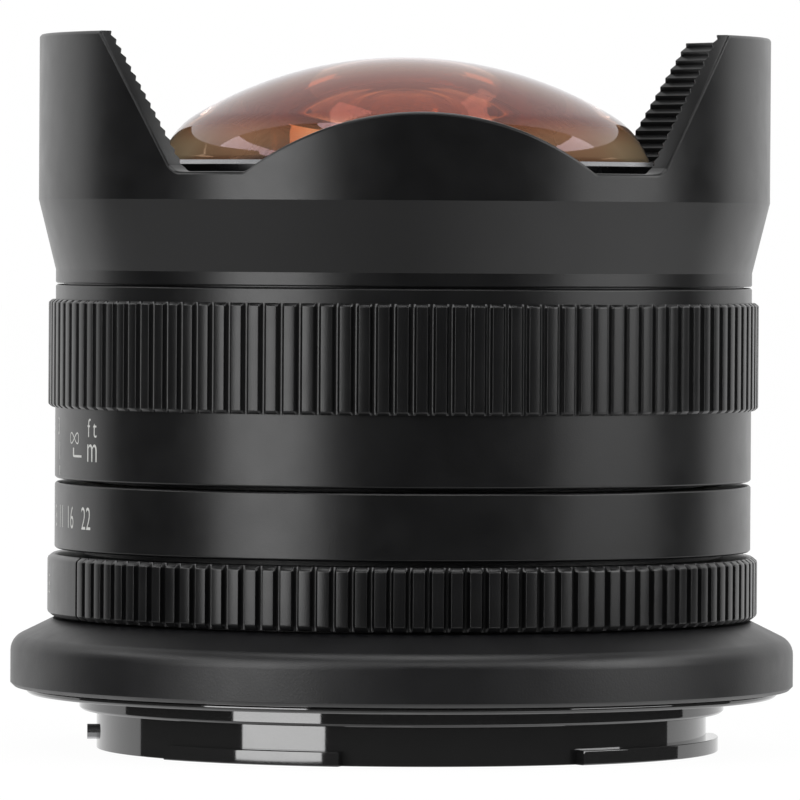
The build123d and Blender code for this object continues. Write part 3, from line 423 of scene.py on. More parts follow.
@dataclass(frozen=True)
class CoatedGlass:
    """Optical glass whose coating tints what it reflects, and what passes it aslant.

    Its own colour by slant is partly the coating's tint and partly painted reflection: amber aslant and a
    pale lavender edge. Slant and lean run from 0, looked at squarely, to 1 at the edge of sight. The haze of
    the rim starts and ends at radii in millimetres; its pale tan is partly the ground edge seen through the
    glass and partly painted light coming through it.
    """

    name: str
    stops: tuple[tuple[float, str], ...]
    reflection: str
    index: float
    strength: float
    slant_start: float = 0.35
    slant_clearness: float = 1.0
    rim_colour: str = "#f8dcb0"
    rim_haze: float = 0.0
    rim_start: float = 18.1
    rim_end: float = 21.2
    lean_start: float = 0.15
    lean_end: float = 0.6

    def build(self) -> Material:
        """Make the material: clear when looked into, amber aslant, hazy at the rim of the outer face.

        The amber and the pale lavender edge are partly painted reflection, the rim's pale tan partly painted
        light.

        Returns:
            The node material.
        """
        material, tree = new_material(self.name)
        aslant = add(tree, "ShaderNodeLayerWeight", {"Blend": 0.5}).outputs["Facing"]
        # Colour by slant: partly the coating's tint, partly painted reflection (amber aslant, pale lavender
        # at the edge of sight)
        ramp = add(tree, "ShaderNodeValToRGB", {"Fac": aslant})
        elements = ramp.color_ramp.elements
        while len(elements) < len(self.stops):
            elements.new(1.0)
        for element, (place, colour) in zip(elements, self.stops):
            element.position = place
            element.color = linear(colour)
        radius = axis_distance(tree, add(tree, "ShaderNodeTexCoord").outputs["Object"])
        # Pale tan haze at the rim: partly the ground edge, partly painted light that comes through the glass
        rim = add(
            tree, "ShaderNodeMapRange", (radius, self.rim_start * MM, self.rim_end * MM, 0.0, self.rim_haze),
            interpolation_type="SMOOTHSTEP",
        )
        leaning = add(tree, "ShaderNodeMapRange", (aslant, self.lean_start, self.lean_end))
        inside = add(tree, "ShaderNodeNewGeometry").outputs["Backfacing"]
        outer = add(tree, "ShaderNodeMath", (leaning, inside), operation="SUBTRACT", use_clamp=True)
        haze = add(tree, "ShaderNodeMath", (rim, outer), operation="MULTIPLY")
        tint = add(tree, "ShaderNodeMix", {0: haze, 6: ramp, 7: linear(self.rim_colour)}, data_type="RGBA")
        clear = add(tree, "ShaderNodeMapRange", (aslant, self.slant_start, 1.0, 1.0, self.slant_clearness))
        clean = add(tree, "ShaderNodeMath", (1.0, haze), operation="SUBTRACT")
        through = add(tree, "ShaderNodeMath", (clear, clean), operation="MULTIPLY")
        body = add(
            tree, "ShaderNodeBsdfPrincipled",
            {"Base Color": tint.outputs[2], "Roughness": 0.0, "IOR": self.index,
             "Transmission Weight": through, "Specular Tint": linear(self.reflection),
             "Specular IOR Level": self.strength},
        )
        add(tree, "ShaderNodeOutputMaterial", {"Surface": body})
        return material


@dataclass(frozen=True)
class Paint:
    """Paint that fills the engraved marks, faintly uneven as hand-filled paint is."""

    name: str
    colour: str
    roughness: float = 0.45
    grain_mm: float = 0.25
    darkest: float = 0.88

    def build(self) -> Material:
        """Make the material.

        Returns:
            The node material, on Object coordinates.
        """
        material, tree = new_material(self.name)
        place = add(tree, "ShaderNodeTexCoord").outputs["Object"]
        noise = add(tree, "ShaderNodeTexNoise", {"Vector": place, "Scale": 1 / (self.grain_mm * MM)})
        colour = toned(tree, self.colour, varied(tree, noise, self.darkest, 1.0))
        shader = add(tree, "ShaderNodeBsdfPrincipled", {"Base Color": colour, "Roughness": self.roughness})
        add(tree, "ShaderNodeOutputMaterial", {"Surface": shader})
        return material


class Finishes:
    """Every finish of the lens, built once."""

    def __init__(self) -> None:
        """Build the materials by the record's slot names, and the paint."""
        metals = [
            # Fine-blasted black anodising: satin black with a soft, slightly grainy sheen
            Metal("body_anodising", "#070708", 0.0, 0.3),
            # Coarser blasting under the same dye: flatter, with a broader sheen
            Metal("skirt_anodising", "#08080a", 0.0, 0.4, grain_mm=0.18, depth=0.16),
            # Turned and dyed aluminium: a smoother black with fine level lines
            Metal("ring_anodising", "#101012", 0.0, 0.28, Grain.TURNED, grain_mm=0.2, depth=0.05),
            # Dull inner anodising: dark grey-black with turning lines
            Metal("inner_anodising", "#111113", 0.0, 0.5, Grain.TURNED, grain_mm=0.3, depth=0.12),
            # Flat black optical paint: rough, and nearly without a highlight
            Metal("matte_black", "#0b0b0c", 0.0, 0.85, grain_mm=0.2, depth=0.3),
            # Black chrome over brass: a dark mirror that shows the table and the lamps
            Metal("gloss_black_plating", "#5c5c5c", 0.86, 0.05, Grain.POLISHED, mottle=0.06),
            # Turned brass under grease: warm yellow with fine lines
            Metal("brass", "#c8a25a", 1.0, 0.28, Grain.TURNED, grain_mm=0.25, depth=0.12),
            # Bright turned steel: a thin band laid on the front ring's chamfer, which makes the light line
            # along it
            Metal("steel", "#b4b4b6", 1.0, 0.24, Grain.TURNED, grain_mm=0.15, depth=0.06),
            # Blackened screws: dark grey with a slightly oily gloss
            Metal("black_steel", "#1c1c1d", 0.6, 0.34, grain_mm=0.1, depth=0.08),
            # Spring steel blades under a flat black coating: dark and dull
            Metal("blade_black", "#1d1d1f", 0.3, 0.45, grain_mm=0.1, depth=0.08),
        ]
        glasses = [
            # Crown glass, coated in many layers: clear from the front, amber aslant (partly painted
            # reflection), pale at its rim (partly painted light)
            CoatedGlass(
                "front_glass",
                ((0.0, "#f6ede2"), (0.3, "#e8a078"), (0.5, "#e8764a"), (0.68, "#d06434"), (0.82, "#c88658"),
                 (0.95, "#d6c6d2")),
                "#f0c9e0", 1.62, 0.5, slant_clearness=0.52, rim_haze=0.95,
            ),
            # Flint glass behind it: nearly clear, with a stronger orange reflection
            CoatedGlass(
                "inner_glass", ((0.0, "#fbf3e6"), (0.6, "#f0c9a0"), (1.0, "#f4e3d2")), "#ffb27a", 1.85, 1.0
            ),
        ]
        self.by_slot = {finish.name: finish.build() for finish in metals + glasses}
        # White enamel in the engraving: a soft white that is a little grey in places
        self.white = Paint("white_fill", "#c9c9c6").build()

    def dress(self, piece: Object, slot: str) -> None:
        """Give a new piece its finish and name the record's slot.

        Args:
            piece: Mesh object.
            slot: Material slot of the record.
        """
        piece.data.materials.clear()
        piece.data.materials.append(self.by_slot[slot])


def ring_tree() -> NodeTree:
    """Build the Geometry Nodes tree that sets copies of a tooth round the axis.

    Returns:
        A tree with the inputs Tooth, Count, Start, Step, Merge and Finish.
    """
    tree = bpy.data.node_groups.new("teeth_round_axis", "GeometryNodeTree")
    sockets = (
        ("Tooth", "NodeSocketGeometry"), ("Count", "NodeSocketInt"), ("Start", "NodeSocketFloat"),
        ("Step", "NodeSocketFloat"), ("Merge", "NodeSocketFloat"), ("Finish", "NodeSocketMaterial"),
    )
    for name, kind in sockets:
        tree.interface.new_socket(name=name, in_out="INPUT", socket_type=kind)
    tree.interface.new_socket(name="Ring", in_out="OUTPUT", socket_type="NodeSocketGeometry")
    given = add(tree, "NodeGroupInput").outputs
    points = add(tree, "GeometryNodePoints", {"Count": given["Count"]})
    number = add(tree, "GeometryNodeInputIndex")
    angle = add(tree, "ShaderNodeMath", (number, given["Step"], given["Start"]), operation="MULTIPLY_ADD")
    turn = add(tree, "ShaderNodeCombineXYZ", {"Z": angle})
    copies = add(
        tree, "GeometryNodeInstanceOnPoints", {"Points": points, "Instance": given["Tooth"], "Rotation": turn}
    )
    real = add(tree, "GeometryNodeRealizeInstances", {"Geometry": copies})
    merged = add(tree, "GeometryNodeMergeByDistance", {"Geometry": real, "Distance": given["Merge"]})
    finished = add(tree, "GeometryNodeSetMaterial", {"Geometry": merged, "Material": given["Finish"]})
    add(tree, "NodeGroupOutput", (finished,))
    return tree


class Workshop:
    """Shared tools of the sub-assemblies: the finishes and the tooth array."""

    def __init__(self) -> None:
        """Build the finishes and the array tree once."""
        self.finishes = Finishes()
        self.teeth = ring_tree()

    def array(self, tooth: Object, count: int, start: float, step: float, slot: str) -> Object:
        """Set copies of a tooth round the axis and keep the result as a plain mesh.

        Args:
            tooth: Piece that spans one step.
            count: Number of copies.
            start: Angle of the first copy in degrees.
            step: Angle between copies in degrees.
            slot: Material slot of the result.

        Returns:
            The same object with the whole ring as its mesh.
        """
        modifier = tooth.modifiers.new("teeth", "NODES")
        modifier.node_group = self.teeth
        values = {
            "Count": count, "Start": math.radians(start), "Step": math.radians(step),
            "Merge": TOOTH_WELD, "Finish": self.finishes.by_slot[slot],
        }
        for socket in self.teeth.interface.items_tree:
            if socket.name in values:
                modifier[socket.identifier] = values[socket.name]
        applied(tooth)
        shade(tooth)
        return tooth

    def seat(self, piece: Object, body: str, slot: str, *nodes: str) -> None:
        """Finish a piece: dress it, let it ride and let it stand for its CAD nodes.

        Args:
            piece: Finished mesh at the origin.
            body: CAD body that carries it.
            slot: Material slot.
            nodes: CAD nodes that it replaces.
        """
        self.finishes.dress(piece, slot)
        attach(piece, body)
        if nodes:
            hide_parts(*nodes)
        log.info("%s rides on %s, %d faces", piece.name, body, len(piece.data.polygons))


@dataclass
class Knurl:
    """Teeth of a knurled ring, in millimetres."""

    radius: float
    inner: float
    low: float
    high: float
    chamfer: float
    depth: float
    mouth: float
    floor: float
    count: int
    corner: float = 0.05
    rounding_share: float = 0.3

    def tooth(self, name: str, grooved: bool = True) -> Object:
        """Build one step of the ring, from the middle of a groove to the next.

        Args:
            name: Name of the piece.
            grooved: Whether the step holds a groove or is smooth.

        Returns:
            An open strip that closes when its copies meet.
        """
        step = 360 / self.count
        half_floor = math.degrees(self.floor / 2 / (self.radius - self.depth))
        half_mouth = math.degrees(self.mouth / 2 / self.radius)
        bevel = math.degrees(self.corner / self.radius)
        quarter = [(0.0, self.depth), (half_floor, self.depth), (half_mouth, self.corner)]
        quarter += [(half_mouth + bevel, 0.0), (step / 2, 0.0)]
        across = quarter + [(step - angle, drop) for angle, drop in reversed(quarter[:-1])]
        if not grooved:
            across = [(angle, 0.0) for angle, _ in across]
        foot, rounding = self.radius - self.chamfer, self.chamfer * self.rounding_share
        end = [
            (0.0, self.inner), (0.0, foot - rounding), (rounding / 2, foot),
            (self.chamfer - rounding / 2, self.radius - rounding / 2), (self.chamfer + rounding, self.radius),
        ]
        limits = [(self.low + rise, limit) for rise, limit in end]
        limits += [(self.high - rise, limit) for rise, limit in reversed(end)]
        points = [
            polar(min(self.radius - drop, limit), angle, height)
            for angle, drop in across
            for height, limit in limits
        ]
        return linked(name, raw_mesh(name, points, grid_faces(len(across), len(limits), round_axis=False)))


@dataclass
class Camera:
    """The photograph's camera, in millimetres and degrees."""

    azimuth: float = -2.7
    distance: float = 740.0
    height: float = 40.05
    look_height: float = 25.35
    look_side: float = -0.28
    focal: float = 386.0
    sensor: float = 36.0
    roll: float = 0.35

    def build(self) -> None:
        """Place the camera and make it the scene's."""
        turn = math.radians(self.azimuth)
        back = Vector((math.sin(turn), -math.cos(turn), 0.0))
        right = Vector((math.cos(turn), math.sin(turn), 0.0))
        data = bpy.data.cameras.new("camera")
        data.lens = self.focal
        data.sensor_width = self.sensor
        data.clip_start = 0.01
        data.clip_end = 50.0
        camera = linked("camera", data)
        camera.location = (back * self.distance + Vector((0, 0, self.height))) * MM
        aim = (right * self.look_side + Vector((0, 0, self.look_height))) * MM
        look = (aim - camera.location).to_track_quat("-Z", "Y")
        camera.rotation_mode = "QUATERNION"
        camera.rotation_quaternion = look @ Quaternion((0, 0, 1), math.radians(self.roll))
        bpy.context.scene.camera = camera


@dataclass(frozen=True)
class Softbox:
    """Soft lamp, placed by its direction from the lens as the camera sees it.

    The angle is counted from the camera's own direction, to the right; lengths are in metres.
    """

    name: str
    angle: float
    reach: float
    low: float
    high: float
    width: float
    radiance: float


@dataclass
class Studio:
    """White surroundings, soft lamps, and a dark room that only glossy surfaces show.

    The floor's height is in millimetres, other lengths are in metres, and angles are in degrees.
    """

    floor_height: float
    camera: Camera
    floor_reach: float = 4.0
    floor_white: float = 0.9
    floor_glow: float = 1.03
    floor_share: float = 0.94
    ambient: float = 0.55
    zenith_tone: float = 0.7
    zenith_start: float = 0.1
    zenith_end: float = 0.9
    room_reach: float = 1.6
    room_hub: float = 0.02
    room_low: float = -0.5
    room_high: float = 1.7
    room_left: float = -115.0
    room_right: float = 119.0
    room_steps: int = 48
    wall_tone: float = 0.05
    wall_foot: Point = (0.02, 0.08)
    ground_tone: float = 0.46
    ground_left_tone: float = 0.8
    ground_right_tone: float = 1.5
    ground_share: float = 0.7
    window_tone: float = 3.0
    window_middle: float = 1.2
    window_half: float = 0.25
    skylight: float = 0.7
    ceiling_skin: float = 0.01
    boxes: tuple[Softbox, ...] = (
        Softbox("box_left", -44.5, 0.9, -0.07, 0.5, 0.53, 4.6),
        Softbox("box_right", 70.5, 0.9, 0.03, 0.6, 0.6, 3.6),
    )

    def build(self) -> None:
        """Make the world, the floor, the room and the lamps."""
        bpy.context.scene.view_settings.view_transform = "Standard"
        self.world()
        self.floor()
        self.room()
        for box in self.boxes:
            self.lamp(box)

    def seen(self, tree: NodeTree) -> Node:
        """Say where a ray sees the background: from the camera, a gloss or a glass.

        Args:
            tree: Node tree that gets the nodes.

        Returns:
            Node that gives one for such rays.
        """
        path = add(tree, "ShaderNodeLightPath").outputs
        straight = (path["Is Camera Ray"], path["Is Glossy Ray"])
        first = add(tree, "ShaderNodeMath", straight, operation="MAXIMUM")
        return add(tree, "ShaderNodeMath", (first, path["Is Transmission Ray"]), operation="MAXIMUM")

    def world(self) -> None:
        """Make the world: white to look at, greyer overhead in a gloss, and gentler as a light."""
        world = bpy.data.worlds.new("studio")
        bpy.context.scene.world = world
        world.use_nodes = True
        tree = world.node_tree
        tree.nodes.clear()
        lit = add(tree, "ShaderNodeBackground", {"Color": (1, 1, 1, 1), "Strength": self.ambient})
        direction = add(tree, "ShaderNodeTexCoord").outputs["Generated"]
        rise = add(tree, "ShaderNodeSeparateXYZ", (direction,)).outputs["Z"]
        fading = add(
            tree, "ShaderNodeMapRange", (rise, self.zenith_start, self.zenith_end, 1.0, self.zenith_tone),
            interpolation_type="SMOOTHSTEP",
        )
        glossy = add(tree, "ShaderNodeLightPath").outputs["Is Glossy Ray"]
        level = add(tree, "ShaderNodeMix", {0: glossy, 2: 1.0, 3: fading})
        white = add(tree, "ShaderNodeBackground", {"Color": (1, 1, 1, 1), "Strength": level})
        mixed = add(tree, "ShaderNodeMixShader", (self.seen(tree), lit, white))
        add(tree, "ShaderNodeOutputWorld", {"Surface": mixed})

    def floor(self) -> None:
        """Make the pale floor, which keeps a faint shadow and otherwise looks white."""
        reach, height = self.floor_reach, self.floor_height * MM
        corners = [Vector((x * reach, y * reach, height)) for x, y in ((-1, -1), (1, -1), (1, 1), (-1, 1))]
        floor = made_object("floor", corners, [(0, 1, 2, 3)])
        material, tree = new_material("floor_paper")
        paper = add(tree, "ShaderNodeBsdfDiffuse", {"Color": (*[self.floor_white] * 3, 1)})
        glow = add(tree, "ShaderNodeEmission", {"Color": (1, 1, 1, 1), "Strength": self.floor_glow})
        share = add(tree, "ShaderNodeMath", (self.seen(tree), self.floor_share), operation="MULTIPLY")
        mixed = add(tree, "ShaderNodeMixShader", (share, paper, glow))
        add(tree, "ShaderNodeOutputMaterial", {"Surface": mixed})
        floor.data.materials.append(material)
        floor.visible_glossy = False

    def room(self) -> None:
        """Make dark walls and a grey table on the camera's side, as the polished parts show them."""
        front = self.camera.azimuth - 90.0
        rings = [(self.room_hub, self.room_low), (self.room_reach, self.room_low)]
        rings += [(self.room_reach, self.room_high), (self.room_hub, self.room_high)]
        width = self.room_right - self.room_left
        points = [
            polar(radius / MM, front + self.room_left + width * step / self.room_steps, height / MM)
            for step in range(self.room_steps + 1)
            for radius, height in rings
        ]
        room = made_object("dark_room", points, grid_faces(self.room_steps + 1, len(rings), False, False))
        material, tree = new_material("dark_room")
        where = add(tree, "ShaderNodeTexCoord").outputs["Object"]
        place = add(tree, "ShaderNodeSeparateXYZ", (where,)).outputs
        # The table gets lighter to either side, and the walls start dark above it
        reach = self.room_reach * self.ground_share
        sides = tuple(
            add(tree, "ShaderNodeMapRange", (place["X"], 0.0, end, 0.0, tone - self.ground_tone))
            for end, tone in ((reach, self.ground_right_tone), (-reach, self.ground_left_tone))
        )
        aside = add(tree, "ShaderNodeMath", sides, operation="ADD")
        ground = add(tree, "ShaderNodeMath", (aside, self.ground_tone), operation="ADD")
        foot_low, foot_high = (self.room_low + rise for rise in self.wall_foot)
        low = add(tree, "ShaderNodeMapRange", (place["Z"], foot_low, foot_high, 1.0, 0.0))
        tone = add(tree, "ShaderNodeMix", {0: low, 2: self.wall_tone, 3: ground})
        # Lit: a band of windows round the walls, and a round skylight in the ceiling
        band = (place["Z"], self.window_middle, self.window_half)
        window = add(tree, "ShaderNodeMath", band, operation="COMPARE")
        radius = axis_distance(tree, where)
        inside = add(tree, "ShaderNodeMath", (radius, self.skylight), operation="LESS_THAN")
        ceiling = self.room_high - self.ceiling_skin
        above = add(tree, "ShaderNodeMath", (place["Z"], ceiling), operation="GREATER_THAN")
        sky = add(tree, "ShaderNodeMath", (inside, above), operation="MULTIPLY")
        lit = add(tree, "ShaderNodeMath", (window, sky), operation="ADD")
        strength = add(tree, "ShaderNodeMath", (lit, self.window_tone, tone), operation="MULTIPLY_ADD")
        cloth = add(tree, "ShaderNodeEmission", {"Color": (1, 1, 1, 1), "Strength": strength})
        add(tree, "ShaderNodeOutputMaterial", {"Surface": cloth})
        room.data.materials.append(material)
        for ray in ("camera", "diffuse", "shadow", "transmission", "volume_scatter"):
            setattr(room, f"visible_{ray}", False)

    def lamp(self, box: Softbox) -> None:
        """Hang a soft rectangular lamp upright, facing the lens.

        Args:
            box: Its place, size and brightness.
        """
        data = bpy.data.lights.new(box.name, "AREA")
        data.shape = "RECTANGLE"
        data.size, data.size_y = box.width, box.high - box.low
        data.energy = box.radiance * math.pi * data.size * data.size_y
        lamp = linked(box.name, data)
        turn = math.radians(self.camera.azimuth - 90.0 + box.angle)
        lamp.location = (box.reach * math.cos(turn), box.reach * math.sin(turn), (box.low + box.high) / 2)
        level = Vector((-lamp.location.x, -lamp.location.y, 0.0))
        lamp.rotation_euler = level.to_track_quat("-Z", "Y").to_euler()


@dataclass(frozen=True)
class Spot:
    """Middle of a mark on a ring: radius and height in millimetres, angle in degrees."""

    ring: str
    radius: float
    angle: float
    height: float


@dataclass
class Marking:
    """White filled marks on the rings, in millimetres, kept by ring until it is finished."""

    paint: Material
    proud: float = 0.012
    slice_width: float = 0.4
    narrow: float = 0.72
    stroke: float = 0.12
    thinning: float = -0.006
    parts: dict[str, list[Object]] = field(default_factory=dict)

    def text(self, spot: Spot, words: str, tall: float, wide: float = 0.0, spacing: float = 1.0) -> None:
        """Write figures on a cylinder, upright as seen from outside.

        Args:
            spot: Where their middle is.
            words: What to write.
            tall: Height of a figure.
            wide: Width of the words, or zero for narrow type.
            spacing: Letter spacing as a share of the font's own.
        """
        curve = bpy.data.curves.new("figure", "FONT")
        curve.body = words
        curve.align_x = "CENTER"
        curve.align_y = "CENTER"
        curve.resolution_u = 6
        curve.offset = self.thinning
        curve.space_character = spacing
        source = linked("figure", curve)
        mesh = evaluated_mesh(source)
        bpy.data.objects.remove(source)
        left, right = min(v.co.x for v in mesh.vertices), max(v.co.x for v in mesh.vertices)
        low, high = min(v.co.y for v in mesh.vertices), max(v.co.y for v in mesh.vertices)
        scale = tall / (high - low)
        across = wide / (right - left) if wide else scale * self.narrow
        for vertex in mesh.vertices:
            x, y, _ = vertex.co
            vertex.co = ((x - (left + right) / 2) * across, (y - (low + high) / 2) * scale, 0)
        self.wrap(spot, mesh)

    def infinity(self, spot: Spot, wide: float, tall: float) -> None:
        """Draw the sign for infinity as one looped stroke.

        Args:
            spot: Where its middle is.
            wide: Its width.
            tall: Its height.
        """
        steps = 64
        turns = [2 * math.pi * step / steps for step in range(steps)]
        line = [Vector((wide / 2 * math.cos(t), tall / 2 * math.sin(2 * t), 0)) for t in turns]
        points = []
        for step, here in enumerate(line):
            along = line[(step + 1) % steps] - line[step - 1]
            aside = Vector((-along.y, along.x, 0)).normalized() * self.stroke / 2
            points += [here + aside, here - aside]
        faces = [[(2 * step + corner) % (2 * steps) for corner in (0, 1, 3, 2)] for step in range(steps)]
        self.wrap(spot, raw_mesh("loop", points, faces))

    def bar(self, spot: Spot, wide: float, tall: float) -> None:
        """Draw an upright or level bar.

        Args:
            spot: Where its middle is.
            wide: Its width.
            tall: Its height.
        """
        sides = ((-1, -1), (1, -1), (1, 1), (-1, 1))
        corners = [(x * wide / 2, y * tall / 2, 0) for x, y in sides]
        self.wrap(spot, raw_mesh("bar", corners, [(0, 1, 2, 3)]))

    def wrap(self, spot: Spot, mesh: Mesh) -> None:
        """Slice a flat mark, bend it round the axis and keep it for its ring.

        Args:
            spot: Where its middle goes.
            mesh: The mark, flat and with its middle at the origin.
        """
        work = bmesh.new()
        work.from_mesh(mesh)
        across = [v.co.x for v in work.verts]
        left, right = min(across), max(across)
        for cut in range(1, math.ceil((right - left) / self.slice_width)):
            geometry = work.verts[:] + work.edges[:] + work.faces[:]
            place = (left + cut * self.slice_width, 0, 0)
            bmesh.ops.bisect_plane(work, geom=geometry, plane_co=place, plane_no=(1, 0, 0))
        for vertex in work.verts:
            turn = spot.angle + math.degrees(vertex.co.x / spot.radius)
            vertex.co = polar(spot.radius + self.proud, turn, spot.height + vertex.co.y)
        work.normal_update()
        inward = [f for f in work.faces if f.normal.dot(f.calc_center_median() * Vector((1, 1, 0))) < 0]
        bmesh.ops.reverse_faces(work, faces=inward)
        work.to_mesh(mesh)
        work.free()
        self.parts.setdefault(spot.ring, []).append(linked("mark", mesh))

    def finish(self, ring: str, name: str, body: str) -> None:
        """Join the marks of a ring into one painted piece that rides on its body.

        Args:
            ring: Name of the ring.
            name: Name of the piece.
            body: CAD body that carries it.
        """
        piece = joined(self.parts[ring], name)
        piece.data.materials.clear()
        piece.data.materials.append(self.paint)
        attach(piece, body)
        log.info("%s rides on %s, %d faces", name, body, len(piece.data.polygons))


@dataclass
class BayonetMount:
    """Plated mount with its register boss, inner ledge and tabs, in millimetres and degrees."""

    shop: Workshop
    depth: float = 4.7
    barrel: float = 26.3
    bore: float = 23.8
    ledge: float = 20.5
    ledge_low: float = -3.0
    ledge_high: float = -1.8
    register: float = 27.8
    register_depth: float = 1.35
    register_edge: float = 0.2
    flange: float = 32.4
    flange_edge: Point = (0.22, 0.2)
    rim: float = 0.45
    plate: float = 1.6
    hidden: float = 31.97
    tab: float = 27.35
    tab_root: float = 0.2
    tab_height: float = 1.25
    tab_spans: tuple[Point, ...] = ((-139.7, -103.7), (-58.7, 5.3), (72.3, 137.3))
    softening: float = 0.06
    tab_softening: float = 0.12

    def build(self) -> None:
        """Make the mount."""
        inwards, up = self.flange_edge
        body = lathe("mount_ring", softened([
            (self.bore, -self.depth), (self.barrel, -self.depth), (self.barrel, -self.register_depth),
            (self.register - self.register_edge, -self.register_depth),
            (self.register, -self.register_depth + self.register_edge),
            (self.register, 0.0), (self.flange - inwards, 0.0), (self.flange, up), (self.flange, self.rim),
            (self.hidden, self.rim), (self.hidden, self.plate), (self.bore, self.plate),
            (self.bore, self.ledge_high), (self.ledge, self.ledge_high), (self.ledge, self.ledge_low),
            (self.bore, self.ledge_low),
        ], self.softening))
        tabs = [self.tab_piece(start, end) for start, end in self.tab_spans]
        mount = joined([body, *tabs], "mount_plated")
        self.shop.seat(mount, "root", "gloss_black_plating", "bayonet_mount")

    def tab_piece(self, start: float, end: float) -> Object:
        """Turn one tab with softened edges, in steps of about a degree.

        Args:
            start: First angle in degrees.
            end: Last angle in degrees.

        Returns:
            The tab.
        """
        root, low, high = self.barrel - self.tab_root, -self.depth, -self.depth + self.tab_height
        outline = softened([(root, low), (self.tab, low), (self.tab, high), (root, high)], self.tab_softening)
        return lathe("tab", outline, start, end, int(end - start))


@dataclass
class MountSkirt:
    """Matte skirt with its flared shoulder, in millimetres; its foot's rounding goes inwards and up."""

    shop: Workshop
    straight: float = 4.05
    rounding: float = 1.6
    top_radius: float = 30.1
    top_edge: Point = (0.04, 0.06)
    bore: float = 27.6
    step_radius: float = 29.6
    web: float = 0.8
    inner: float = 32.03
    foot: tuple[Point, ...] = ((0.4, 0.0), (0.32, 0.02), (0.0, 0.34), (0.0, 0.4))
    arc_steps: int = 6

    def build(self) -> None:
        """Turn the skirt."""
        size = span("mount_skirt")
        straight = size.low + self.straight
        slope = math.atan2(size.radius - self.top_radius, size.high - straight)
        bend = straight - self.rounding * math.tan(slope / 2)
        outer = [(size.radius - inwards, size.low + up) for inwards, up in self.foot]
        for step in range(self.arc_steps + 1):
            turn = slope * step / self.arc_steps
            radius = size.radius - self.rounding * (1 - math.cos(turn))
            outer.append((radius, bend + self.rounding * math.sin(turn)))
        aside, down = self.top_edge
        outer += [(self.top_radius + aside, size.high - down), (self.top_radius - aside, size.high)]
        web = size.high - self.web
        inner = [(self.bore, size.high), (self.bore, web), (self.step_radius, web)]
        inner += [(self.inner, bend), (self.inner, size.low)]
        self.shop.seat(lathe("skirt_matte", outer + inner), "root", "skirt_anodising", "mount_skirt")


@dataclass
class Rings:
    """Aperture ring, fixed band and focus ring, in millimetres and degrees."""

    shop: Workshop
    radius: float = 30.6
    smooth_radius: float = 30.0
    count: int = 120
    edge: float = 0.15
    softening: float = 0.05
    aperture_bore: float = 27.56
    aperture_depth: float = 0.55
    aperture_phase: float = -91.6
    aperture_window: Point = (119.5, 199.5)
    band_bore: float = 27.53
    focus_bore: float = 28.08
    focus_phase: float = -91.32
    scale_height: float = 6.1
    grip_height: float = 9.25
    grip_depth: float = 0.4
    grip_bore: float = 29.7
    rebate_radius: float = 29.42
    rebate_depth: float = 1.15

    def build(self) -> None:
        """Make the three rings."""
        self.aperture()
        self.band()
        self.focus()

    def wall(self, radius: float, size: Span) -> list[Point]:
        """Outer wall of a ring with a small chamfer at either end.

        Args:
            radius: Radius of the wall.
            size: The ring's ends.

        Returns:
            Points as (radius, height), from the low end up.
        """
        slim, edge = radius - self.edge, self.edge
        return [(slim, size.low), (radius, size.low + edge), (radius, size.high - edge), (slim, size.high)]

    def aperture(self) -> None:
        """Make the grooved ring with a smooth window for its figures."""
        size = span("aperture_ring")
        teeth = Knurl(
            radius=self.radius, inner=self.aperture_bore, low=size.low, high=size.high, chamfer=0.37,
            depth=self.aperture_depth, mouth=0.6, floor=0.44, count=self.count,
        )
        step = 360 / self.count
        start, end = self.aperture_window
        first = math.ceil((start - self.aperture_phase) / step) - 1
        after = math.floor((end - self.aperture_phase) / step) + 1
        stretches = (
            (teeth.tooth("aperture_teeth"), self.count - (after - first), after),
            (teeth.tooth("aperture_window", grooved=False), after - first, first),
        )
        parts = [
            self.shop.array(tooth, count, self.aperture_phase + place * step, step, "body_anodising")
            for tooth, count, place in stretches
        ]
        ring = joined(parts, "aperture_ring_grooved")
        self.shop.seat(ring, "aperture_group", "body_anodising", "aperture_ring")

    def band(self) -> None:
        """Make the fixed band under the focus scale."""
        size = span("scale_band")
        outline = [(self.band_bore, size.low), *self.wall(size.radius, size), (self.band_bore, size.high)]
        band = lathe("band_fixed", softened(outline, self.softening))
        self.shop.seat(band, "root", "body_anodising", "scale_band")

    def focus(self) -> None:
        """Make the focus ring: smooth scale, knurled grip, and the rebate that the hood's spigot enters."""
        size = span("focus_ring")
        rebate = size.high - self.rebate_depth
        core = lathe("core", softened([
            (self.focus_bore, size.low), *self.wall(self.smooth_radius, size),
            (self.rebate_radius, size.high), (self.rebate_radius, rebate), (self.focus_bore, rebate),
        ], self.softening))
        core.data.materials.append(self.shop.finishes.by_slot["body_anodising"])
        grip_low = size.low + self.scale_height
        teeth = Knurl(
            radius=self.radius, inner=self.grip_bore, low=grip_low, high=grip_low + self.grip_height,
            chamfer=0.25, depth=self.grip_depth, mouth=0.66, floor=0.46, count=self.count,
        )
        grip = self.shop.array(
            teeth.tooth("focus_teeth"), self.count, self.focus_phase, 360 / self.count, "body_anodising"
        )
        ring = joined([core, grip], "focus_ring_knurled")
        self.shop.seat(ring, "focus_group", "body_anodising", "focus_ring")


